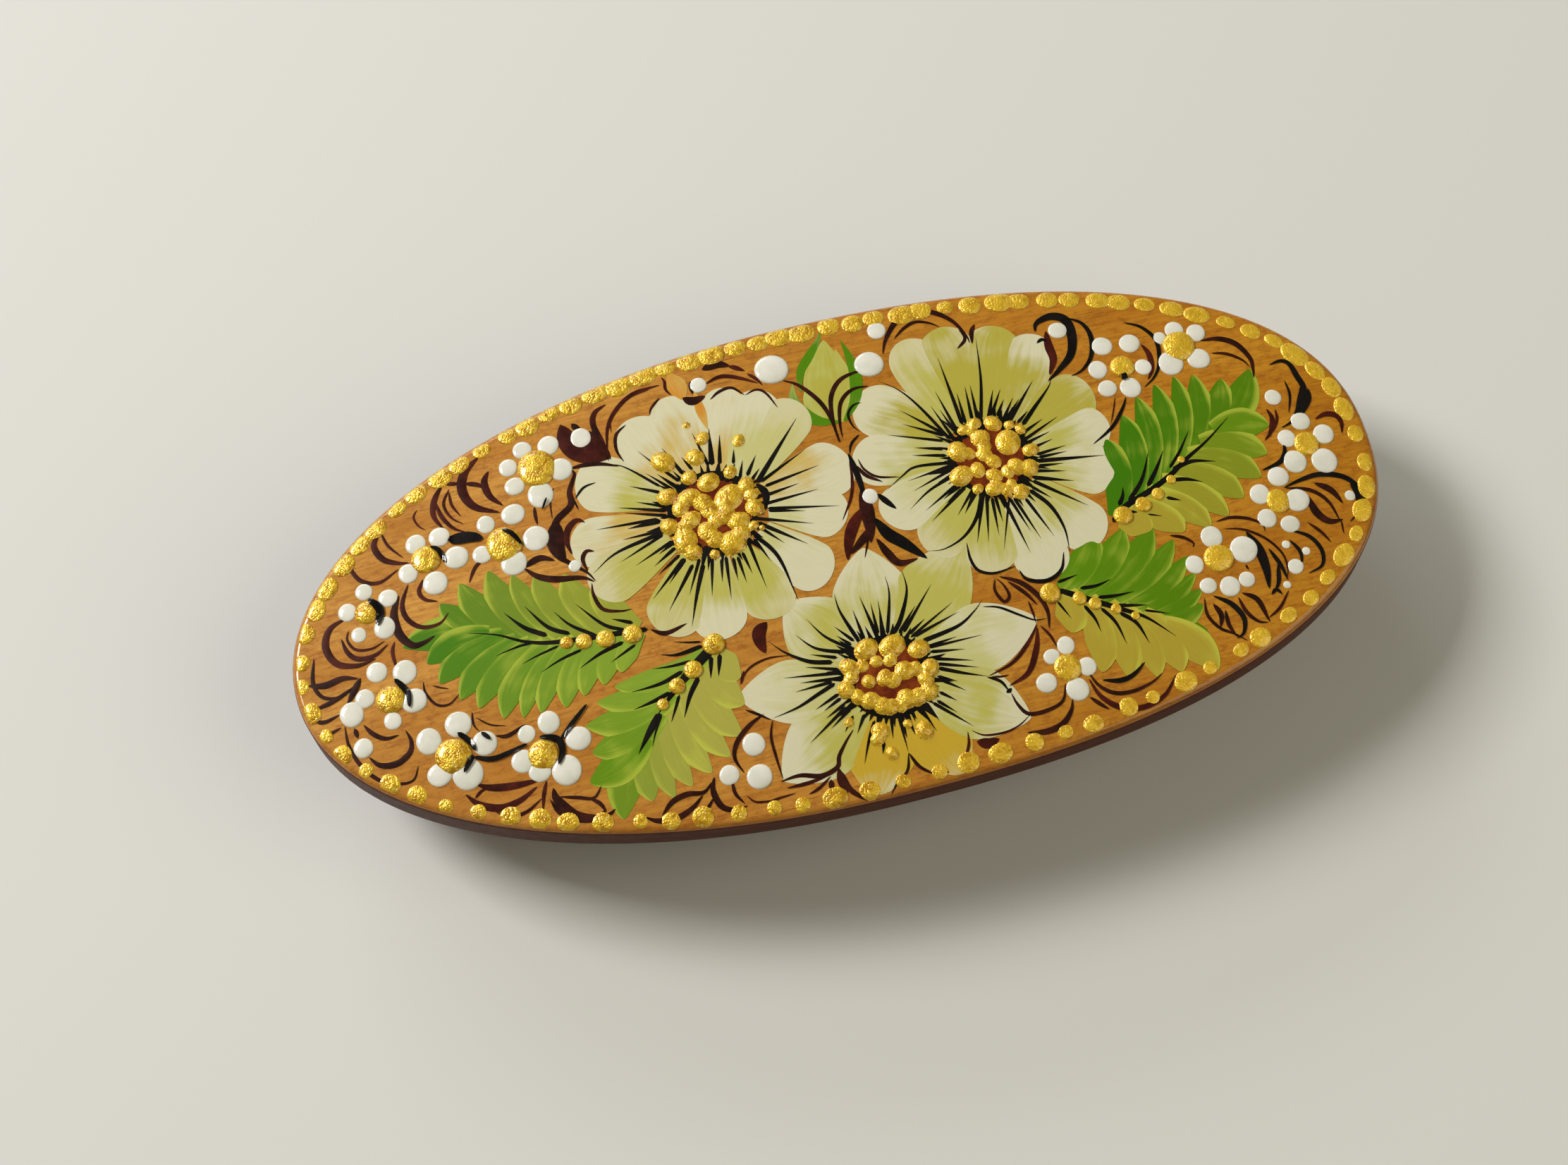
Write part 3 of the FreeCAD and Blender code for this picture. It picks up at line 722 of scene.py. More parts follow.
# Leaves: the middle vein, then for each side the tips of its dabs from the base on, the colours at the
# base and at the end, and the power that sets where one turns into the other; last how light the edges are
LEAVES = {
    "leaf_left": (
        [(-18.5, -3.1), (-26, -2.2), (-29, -1.4), (-31.5, 0), (-34, 0.9)],
        [
            ([(-22.2, 2.2), (-24.5, 4), (-27, 4.7), (-29, 5.2), (-31, 6.2), (-33.7, 5.7), (-35.8, 4.3),
              (-39.8, 1.2)],
             LEAF_OLIVE, BRIGHT_GREEN, 0.9),
            ([(-21.6, -6.4), (-23.3, -7.1), (-25.2, -7.6), (-27, -8.2), (-29.2, -8.1), (-30.8, -8.1),
              (-32.5, -7.7), (-34.4, -6.2), (-35.8, -5), (-37.3, -3), (-38, -0.9)],
             LIGHT_GREEN, BRIGHT_GREEN, 1.4),
        ],
        0.6,
    ),
    "leaf_low": (
        [(-13.3, -6.2), (-19.5, -11), (-21.9, -14)],
        [
            ([(-11.6, -9.5), (-11.9, -12), (-12.8, -14.6), (-14.2, -16.2), (-16.1, -17.2), (-18, -17.9),
              (-19.7, -18.5), (-21.6, -18.3), (-24.4, -19.2)],
             LEAF_STRAW, MID_GREEN, 3.5),
            ([(-22.5, -7.5), (-24.3, -8.5), (-25.7, -10.3), (-25.7, -12.8), (-26.5, -15.3)],
             LIGHT_GREEN, MID_GREEN, 1.6),
        ],
        0.55,
    ),
    "leaf_right": (
        [(24.2, -3.6), (28.5, -1.4), (32.5, 0.8), (37.7, 4.1)],
        [
            ([(26, 4.4), (28.2, 6.4), (30, 7.9), (32, 8.8), (34, 9.2), (35.8, 9), (38.2, 8), (41.2, 8.4)],
             BRIGHT_GREEN, WARM_GREEN, 1.0),
            ([(27.3, -5.2), (30.2, -6), (32.7, -6.1), (34.6, -5.4), (36.5, -4), (38.7, -2.4), (40, -0.3),
              (41.1, 2.4)],
             LEAF_OCHRE, MID_GREEN, 1.3),
        ],
        0.75,
    ),
    "leaf_bottom": (
        [(17.6, -8.7), (22.5, -11.7), (24.5, -13), (26.6, -15.3)],
        [
            ([(22.2, -4.3), (24.9, -4.4), (27.5, -4.8), (29, -6.5), (29.8, -8.3), (30, -10), (30.1, -11.6),
              (29.8, -13), (29.5, -15.4)],
             MID_GREEN, WARM_GREEN, 0.8),
            ([(17.6, -12.8), (19.2, -16.9), (21.4, -18), (23.9, -18.5), (26.1, -18.5), (29.3, -19.1)],
             LEAF_OCHRE, LEAF_OCHRE, 1.0),
        ],
        0.45,
    ),
}

# Fine lines out of a flower's middle: width, then x, y from the tip to the root
LEFT_RAYS = [
    (0.45, -0.7, 13.5, -5.8, 8), (0.3, -0.7, 10.2, -5.5, 8), (0.3, 0.1, 8.3, -5.2, 7.5),
    (0.3, -2.1, 7, -5.3, 6.6), (0.3, -0.5, 6, -5.6, 5.8), (0.3, 0.9, 3.9, -5.5, 5.3),
    (0.3, -2.2, 4.2, -5.5, 5.1), (0.3, -1.8, 2.8, -6.9, 4.7), (0.4, -2.8, 1, -6.7, 4.2),
    (0.3, -4.8, 1.6, -6.6, 3.7), (0.4, -5, -4, -5.7, 0.5, -7.3, 3.2), (0.3, -6.4, 0.2, -7.4, 2.8),
    (0.3, -7.4, -2.2, -8, 3), (0.3, -8.3, -0.5, -8.7, 1.8), (0.3, -9, -1.2, -9.2, 1.5),
    (0.3, -9.7, -0.8, -9.6, 1.5), (0.3, -10.7, -2.4, -10.2, 1.8), (0.3, -11.1, -0.6, -10.6, 1.7),
    (0.3, -12.3, -1.7, -11.4, 2), (0.4, -14.7, -4, -13.5, -1, -12.3, 1.6), (0.3, -14.2, -1, -12.5, 2.2),
    (0.35, -16.3, -2, -13.2, 1.8), (0.3, -15.7, 0.5, -13.7, 2.5), (0.35, -17.4, -0.5, -13.8, 2.6),
    (0.3, -16.5, 1.6, -14.1, 3), (0.35, -16.6, 2.5, -14.3, 3.8), (0.3, -18.2, 3, -14.4, 4.5),
    (0.3, -19.4, 3.7, -15.1, 5.3), (0.4, -22, 3.3, -19.5, 4.7, -15.1, 5.5), (0.3, -18.8, 5.8, -15.1, 5.7),
    (0.5, -18.1, 6.7, -15, 6.7), (0.3, -20.9, 7.4, -15.2, 6.9), (0.3, -18, 8.3, -14.3, 7),
    (0.3, -18.5, 9, -14.3, 7.5), (0.3, -16.8, 9.1, -14, 7.8), (0.3, -17, 10.8, -14.4, 9.4),
    (0.25, -18.5, 13.5, -17, 12.8, -14.3, 10), (0.3, -15.3, 11.7, -13.2, 9.3),
    (0.4, -14.3, 11.3, -12.7, 9.3), (0.3, -15.5, 14.1, -14.4, 12.5, -12.5, 10),
    (0.35, -13.3, 13.8, -12, 10.6), (0.3, -11.8, 12.4, -11.1, 10.8), (0.3, -10.3, 14.6, -9.6, 10.8),
    (0.5, -8.7, 14.6, -9.3, 10.8), (0.35, -7.9, 13.7, -8.6, 10.7), (0.3, -7, 11.9, -7.4, 10.4),
    (0.3, -6.5, 10.6, -7.2, 8.8), (0.35, -5.2, 10.8, -6.5, 8.9), (0.3, -5.2, 9.4, -6.2, 8.4),
]
RIGHT_RAYS = [
    (0.3, 8.5, 11.9, 11.8, 8.5), (0.3, 8.4, 10.4, 11.8, 8.3), (0.25, 6.7, 9.7, 11.6, 7.8),
    (0.3, 8.8, 7.8, 11.4, 7), (0.3, 8.4, 7.1, 11.5, 6.3), (0.3, 5.3, 4.3, 7, 5.3, 8.5, 5.9, 11.8, 5.5),
    (0.3, 7.4, 4.7, 12, 5.3), (0.3, 7.6, 3.6, 12, 5), (0.3, 6.8, 1.9, 9, 3.3, 11.5, 4.2),
    (0.3, 8.2, 1.5, 11.6, 3.3), (0.35, 8.4, 0.3, 12.3, 2.9), (0.3, 10.1, 1.7, 12, 2.8),
    (0.3, 10.8, 0.3, 13, 2.6), (0.35, 7.2, -2.3, 8.8, -2.5, 10.8, -1.8, 12.4, -0.3, 13.5, 1.8),
    (0.35, 11.8, -2.7, 13.6, 1.8), (0.3, 12.8, -2.9, 13.9, 1.6), (0.3, 13.9, -2.5, 14.3, 1.3),
    (0.3, 14.6, -1.3, 14.6, 1.2), (0.2, 13.9, -4, 15.8, 0.9), (0.35, 16.2, -4.8, 15.2, 1.2),
    (0.3, 16.8, -2.8, 15.8, 0.9), (0.3, 17.5, -3.7, 16.2, 0.8), (0.3, 18.7, -3.7, 17.2, 0.5),
    (0.4, 19.6, -5.6, 19.8, -3.2, 19.2, -0.8, 17.8, 1.2), (0.3, 19.6, -0.1, 18, 1.5),
    (0.35, 22.6, -1.6, 18.3, 2), (0.4, 22, 1.1, 18.4, 2.3), (0.3, 21.6, 2.2, 18.8, 2.9),
    (0.3, 21.6, 3, 19.2, 3.3), (0.4, 25.5, 2.9, 19.2, 3.8), (0.3, 22.2, 4.1, 19.5, 4.1),
    (0.3, 22.3, 4.7, 19.4, 4.4), (0.3, 21.3, 5.6, 19, 5.1), (0.3, 21.3, 6.4, 18.6, 5.7),
    (0.3, 22.4, 7.7, 18.5, 6), (0.3, 21, 7.8, 18.8, 6.8), (0.4, 22.9, 11.8, 22.5, 10.9, 20.5, 9, 19, 7.6),
    (0.35, 21.3, 11.9, 18, 8.3), (0.3, 19.9, 8.9, 18.6, 7.9), (0.3, 19, 10.6, 17.2, 8.2),
    (0.3, 19.5, 10.3, 17.8, 8.6), (0.3, 18.1, 10.6, 17, 9), (0.3, 18.1, 11.7, 16.5, 9.2),
    (0.35, 17.4, 11.8, 16.2, 9), (0.3, 17.4, 17.5, 16.6, 13, 15.5, 9.1), (0.3, 15.5, 12.8, 15.2, 9.2),
    (0.3, 15, 12.8, 14.7, 9.2), (0.3, 14.1, 12.3, 14, 9), (0.35, 13.4, 16.3, 13.7, 9),
    (0.3, 12.2, 13, 13.1, 8.2), (0.3, 12.1, 11, 13, 8), (0.3, 11.4, 11.6, 12.6, 7.6),
    (0.3, 7.4, 15.3, 9, 13.9, 10.4, 11.7, 12.2, 7.8),
]
BOTTOM_RAYS = [
    (0.35, 0.3, -4.9, 0.9, -9.3), (0.3, -0.6, -6, -0.3, -9), (0.35, -1.8, -4.1, -1.7, -6, -0.8, -9),
    (0.3, 1.1, -5.8, 1, -8.8), (0.2, 1.8, -5.6, 1.5, -8.9), (0.3, 3, -3.6, 2.9, -5.5, 1.8, -9),
    (0.4, 4.6, -3.5, 4.5, -5.5, 3.3, -7.9, 2.3, -9.1), (0.3, 4.9, -7, 2.8, -9.2),
    (0.3, 6.8, -5.4, 3.2, -9.2), (0.3, 5.4, -8.4, 3.6, -9.5), (0.25, 8.2, -7.5, 3.7, -9.8),
    (0.3, 8.5, -8.5, 4, -9.8), (0.4, 10.8, -7.9, 9.8, -8.8, 8, -9.8, 4.6, -10.4),
    (0.3, 7.7, -10.7, 4.9, -11), (0.25, 10, -11.1, 5, -11.1), (0.3, 8.1, -12, 5, -11.5),
    (0.3, 8.6, -13.2, 5.2, -12.2), (0.3, 8.8, -13.9, 5.3, -12.7),
    (0.35, 9.4, -14.9, 7.4, -14.1, 5.3, -13.1), (0.3, 6.7, -14.7, 5, -13.8), (0.3, 7.2, -15.7, 5, -14),
    (0.3, 6.2, -16.4, 4.8, -15.2), (0.3, 5.9, -17.4, 4.4, -15.9), (0.3, 7, -19, 4, -16),
    (0.3, 4.2, -17.8, 3.4, -15.8), (0.3, 3.7, -18.6, 2.8, -16), (0.3, 2.1, -17.3, 2, -16),
    (0.3, 1.2, -16.9, 1.1, -16), (0.25, 0.8, -19.8, 0.8, -16.2), (0.3, -0.2, -18.3, 0.2, -16.2),
    (0.3, -3.2, -19.9, -2.2, -17.8, -1.3, -16.3), (0.3, -1.4, -19.4, -1, -18.3),
    (0.3, -3.1, -17.1, -2, -15.5), (0.3, -4.1, -16.7, -3, -15.4), (0.3, -7.3, -16.9, -3.4, -14.5),
    (0.3, -5.2, -16.1, -3, -14.7), (0.3, -5.4, -15.1, -3.4, -14.2), (0.3, -5.4, -14.4, -3.6, -13.6),
    (0.3, -6.1, -14.1, -3.7, -13.2), (0.35, -9.9, -13.9, -7.5, -13.5, -5.5, -12.8, -3.8, -12.2),
    (0.3, -7.4, -12.1, -4, -12), (0.3, -6.8, -11.4, -3.8, -11.8), (0.3, -8.1, -10.6, -3.1, -11.4),
    (0.3, -6, -10.1, -3.1, -11.1), (0.4, -8.5, -7, -7.3, -8.4, -5.5, -9.7, -3.5, -10.3),
    (0.3, -5.3, -9.1, -3, -10), (0.35, -6.1, -7, -4.6, -8.7, -2.2, -9.7),
    (0.3, -4.8, -5.8, -3.6, -7.8, -1.8, -9.4), (0.3, -2.6, -7.1, -1.2, -8.9), (0.3, -2.6, -8, -1.5, -9.2),
]

# Gold lumps of the hearts: x, y, radius
LEFT_LUMPS = [
    (-13.5, 12.3, 0.95), (-10.6, 12, 0.8), (-9.5, 13.7, 0.6), (-6.4, 12.6, 0.55), (-10.6, 15.4, 0.3),
    (-11.6, 10.1, 0.7), (-10, 9.2, 0.95), (-7.9, 9.7, 0.6), (-13.9, 8.8, 0.85), (-12, 8.2, 0.9),
    (-13, 7.4, 0.8), (-11, 7.4, 0.9), (-10.6, 6.6, 0.8), (-8.6, 7.2, 1.25), (-6.8, 8, 0.75),
    (-6.6, 7, 0.6), (-6.6, 5.7, 0.8), (-14.4, 5.9, 0.8), (-12.4, 6, 0.85), (-13.4, 5.5, 0.6),
    (-13.3, 4.2, 1.1), (-11.2, 4.5, 0.9), (-10.2, 5.6, 0.8), (-9.3, 5.6, 0.85), (-8.3, 4.8, 0.9),
    (-12.9, 2.9, 0.8), (-10.7, 3.6, 0.85), (-9.3, 2.9, 1.2), (-8.3, 3.6, 0.8), (-7.1, 4, 0.45),
    (-11.1, 2.2, 0.45), (-6.4, 3.6, 0.25),
]
RIGHT_LUMPS = [
    (13.6, 8.4, 0.5), (14.8, 8.8, 0.6), (14.3, 8.1, 0.5), (14.9, 7.2, 0.9), (15, 6.3, 0.7),
    (12.6, 6.4, 0.95), (13.4, 6, 0.65), (16.4, 8.4, 0.75), (17.2, 6.2, 1.2), (17.8, 7.9, 0.45),
    (18.7, 7.2, 0.45), (19, 5, 0.65), (14.8, 5.5, 0.7), (15.4, 4.7, 0.7), (12.2, 4, 1.0),
    (13.8, 4.2, 0.7), (15.1, 3.3, 0.7), (16.4, 3.4, 0.6), (17.3, 3.7, 0.8), (18.4, 3.3, 0.85),
    (13.3, 2.4, 0.5), (14.8, 2.1, 0.75), (15.8, 1.7, 0.6), (16.4, 2.1, 0.5), (17, 1.2, 0.75),
]
BOTTOM_LUMPS = [
    (-0.4, -9.9, 0.95), (1.9, -10.2, 1.05), (-2.2, -11.2, 0.8), (-1.1, -11.3, 0.6), (0.2, -11.2, 0.6),
    (1.4, -11.4, 0.6), (4.1, -11, 0.85), (-2.3, -12.1, 0.6), (-3, -13, 0.75), (-0.9, -12.8, 0.65),
    (0.5, -12.8, 0.7), (1.2, -13.2, 0.75), (2.4, -12.6, 0.9), (3.4, -12.7, 0.6), (4.6, -12.9, 0.8),
    (4, -13.8, 0.7), (-2.2, -13.9, 0.65), (-1.2, -14.5, 0.8), (-0.3, -15.2, 0.8), (0.4, -15.5, 0.7),
    (1.9, -15.1, 0.9), (2.9, -15.2, 0.8), (4, -14.9, 0.8), (1.2, -15.7, 0.5), (-3.5, -15.9, 0.4),
    (-1.1, -17.3, 0.75), (-1.5, -18, 0.6), (-0.6, -19.5, 0.55), (1.4, -17.3, 0.4), (2.7, -18.2, 0.75),
]

# Berry flowers: the gold middle, the white dots round it, each as x, y, radius, and black strokes
BERRIES = [
    ((-36.2, 8.9, 1.35),
     [(-36.8, 10.6, 0.95), (-34.6, 10.7, 1.0), (-33.5, 8.3, 1.15), (-35.8, 6.4, 1.15), (-38, 8, 0.9)],
     [(0.35, -35.6, 9.9, -34.9, 9.4, -34.5, 8)]),
    ((-42.3, 5.4, 1.15),
     [(-44, 5.9, 0.85), (-42.2, 7.4, 0.8), (-40.2, 6.2, 0.9), (-41, 3.5, 1.0), (-43.4, 3.5, 0.7)],
     [(0.55, -41.9, 6.6, -41.1, 5.2, -41.6, 3.8)]),
    ((-41.8, -3.2, 1.35),
     [(-42.5, -0.4, 0.95), (-40.1, -1.1, 1.1), (-39.8, -3.9, 1.15), (-42, -5.2, 0.8), (-44, -2.5, 0.9),
      (-45.4, -3.6, 1.1), (-45, -6.9, 0.9)],
     [(0.4, -41.1, -1.5, -40.2, -3.1, -40.3, -4.5)]),
    ((-37.5, -9.8, 1.65),
     [(-36.5, -7.1, 1.2), (-39.3, -7.9, 1.15), (-34.6, -9.4, 1.1), (-36.6, -11.7, 1.4),
      (-39, -11.1, 1.1)],
     [(0.4, -36.7, -7.9, -35.8, -9, -35.5, -9.9), (0.35, -35.7, -10.2, -36.9, -11.6),
      (0.3, -34.7, -8.4, -34, -9.3), (0.35, -35.8, -10.4, -34, -11, -31, -10.5)]),
    ((-29.9, -11.8, 1.4),
     [(-30.9, -9.6, 0.8), (-28.8, -9.1, 1.0), (-26.6, -11.2, 1.15), (-28.2, -13.7, 1.3),
      (-30.5, -13.2, 1.0), (-31.7, -11.9, 1.05)],
     [(0.45, -29.9, -10.2, -28.4, -10.8, -28.2, -12, -28.8, -13.1),
      (0.3, -28.2, -11, -27, -9.9, -25.2, -8.4)]),
    ((-29.1, 8.3, 1.65),
     [(-30.3, 10.7, 0.85), (-27.7, 11, 1.1), (-26.2, 8.1, 1.2), (-28.6, 6.3, 1.2), (-31.2, 7.9, 0.9)],
     [(0.35, -29, 9.7, -28.2, 9, -27.5, 7.7), (0.8, -33.9, 10.1, -32, 9.9, -30.8, 9.4)]),
    ((-24.7, 14.9, 1.75),
     [(-27.2, 15.7, 0.85), (-27, 13.7, 0.95), (-25.6, 17.1, 0.9), (-23.2, 16.9, 1.0),
      (-22.6, 14.2, 1.1), (-24.9, 12.2, 1.2)],
     [(0.15, -24.4, 11.7, -25.1, 10.6)]),
    ((29.7, 11.3, 1.15),
     [(28.5, 13.8, 1.0), (31.1, 13.5, 1.0), (27.4, 11.5, 0.9), (31.6, 10.8, 0.8), (27.7, 9.4, 0.9),
      (29.8, 9, 1.0)],
     [(0.5, 29.3, 10.4, 29.8, 9.9)]),
    ((35.5, 12.2, 1.55),
     [(35.6, 13.9, 0.9), (37.5, 13.2, 0.9), (34, 13.4, 0.65), (34.2, 10.6, 1.2), (36.9, 10.5, 1.1)],
     []),
    ((43.9, -0.1, 1.2),
     [(44.1, 2.2, 0.95), (42.3, 0.8, 0.85), (45.8, 0.5, 1.0), (42.3, -1.6, 1.1), (45, -2.1, 1.2),
      (40.3, -2.7, 1.0)],
     []),
    ((39.5, -5, 1.1),
     [(38.1, -4, 0.95), (41.3, -5.3, 1.15), (38, -6.4, 0.9), (39.9, -7.4, 0.9)],
     []),
    ((32.5, -9.1, 1.4),
     [(32.5, -7, 1.0), (30.2, -9.2, 0.85), (35, -8.8, 1.3), (30.8, -11.4, 0.8), (32.7, -11.9, 0.95),
      (34.4, -11.6, 0.75)],
     []),
    ((16.4, -15.8, 1.25),
     [(16.8, -13.8, 0.8), (15.3, -14.5, 0.75), (18.1, -16.1, 0.85), (14.2, -16.7, 0.95),
      (16.7, -17.9, 1.05)],
     []),
]

# Single white dots, and the gold beads along the veins of the leaves: x, y, radius
SINGLE_DOTS = [
    (-20.2, 16.8, 1.0), (-23.4, 4.5, 0.6), (42.4, 5.1, 0.8), (25, 16.4, 0.9), (-1.7, 19, 1.6),
    (7.1, 17.2, 1.4), (8.7, 20.5, 0.9), (3.7, 4.1, 0.75), (-8.6, 19.2, 0.8), (-12, -15.7, 1.0),
    (-14.7, -17.8, 0.9), (-12.2, -18.6, 1.15), (38.9, -9.2, 0.4), (40.5, -10.2, 0.4),
    (39.1, -11.4, 0.75), (37.8, -12.9, 0.38), (46.2, -5.9, 0.5),
]
LEAF_BEADS = [
    (-19.9, -3.2, 0.9), (-22.3, -3, 0.85), (-24.2, -2.7, 0.75), (-25.7, -2.4, 0.6),
    (-13.2, -6, 1.0), (-15.5, -7.8, 0.85), (-17.2, -8.9, 0.75), (-18.8, -10.2, 0.55),
    (25.3, -3.2, 0.9), (27.4, -2.6, 0.75), (29, -1.9, 0.6), (30.6, -0.8, 0.45), (32.1, 0.9, 0.35),
    (16.8, -8.8, 0.95), (19.2, -9.9, 0.65), (20.4, -10.7, 0.6), (22.1, -11.6, 0.5), (23.6, -12.6, 0.4),
]

# Veins of the leaves: width, then x, y along each
LEAF_VEINS = [
    (0.45, -18.5, -3.1, -26, -2.2, -29, -1.4, -31.5, 0, -34, 0.9),
    (0.3, -19.6, -2.2, -20.8, -1.6, -21.4, -1.3), (0.3, -20.4, -2.7, -22.2, -1.6, -24.2, 1),
    (0.3, -23, -2.5, -25, -0.9, -26.2, 0.8), (0.35, -25.2, -1.7, -27, -0.5, -28.6, 2),
    (0.4, -27.2, -1.3, -29, 0, -30.5, 1.9), (0.2, -28.5, -1.6, -30, -1.6, -32, -1.9),
    (0.2, -26.4, -2.5, -28.5, -2.9, -30, -3.3), (0.25, -24.5, -3.4, -26.5, -3.8, -28.5, -4.5),
    (0.35, -20.8, -3.7, -23, -4.2, -25.2, -5.1), (0.25, -19.8, -4.2, -21, -4.7, -22.4, -5.3),
    (0.8, -13.3, -6.2, -16.6, -8.5, -19.5, -11), (0.6, -19.2, -10.9, -20.5, -12.3, -21.9, -14),
    (0.2, -19.1, -11, -19.9, -12.3, -20.6, -13.7), (0.15, -14.2, -5.5, -15.5, -5.2, -16.7, -4.8),
    (0.35, -14.2, -5.9, -16.5, -6.1, -18, -5.7), (0.25, -15.4, -7, -17.3, -7, -19, -6.8),
    (0.35, -16.4, -7.7, -18.5, -8.3, -21.2, -8.4), (0.35, -17.9, -9.3, -19.5, -9.7, -21.4, -10),
    (0.35, -13.7, -7, -14.2, -9), (0.35, -12.9, -7, -13.5, -9),
    (0.4, -15.2, -8.6, -16.3, -10, -17.3, -11.9), (0.25, -17.2, -9.7, -17.8, -10.8, -18.5, -12),
    (0.5, 24.2, -3.6, 25.8, -2.4, 28.5, -1.4, 30.8, -0.3, 32.5, 0.8, 35, 2.2, 37.7, 4.1),
    (0.35, 25.2, -2.2, 25.8, -1.4, 26.1, -0.5), (0.35, 26.2, -2, 28, -0.2, 29.4, 2.3),
    (0.35, 28.3, -1, 29.6, 0.5, 30.8, 2.2), (0.25, 30.8, 0.3, 32.2, 1.7, 33.7, 3.6),
    (0.3, 26, -3, 26.7, -3.2), (0.15, 27.5, -3.6, 28.8, -4.1), (0.3, 29.6, -2.4, 30.9, -3),
    (0.35, 30.8, -0.9, 32, -1.1, 33.4, -1.7), (0.4, 31, 0.1, 33, 0.5, 35.2, 0),
    (0.5, 17.6, -8.7, 20, -10.2, 22.5, -11.7, 24.5, -13, 26.6, -15.3), (0.25, 17.7, -8, 19.7, -7.7),
    (0.3, 19.5, -9, 21, -9.1, 22.5, -8.8), (0.3, 20.8, -10.2, 22.4, -10.4, 24.2, -10.4),
    (0.3, 22.2, -11.3, 23.5, -11.6, 25, -11.9), (0.2, 24.5, -12.3, 26.6, -13.1),
    (0.2, 17.2, -9.7, 18, -11.6), (0.3, 19.4, -10.6, 20, -12, 20.2, -13.4),
    (0.3, 20.8, -11.2, 21.7, -12.8, 22.1, -15), (0.35, 22.3, -12, 23.5, -13.3, 24.1, -15.4),
]

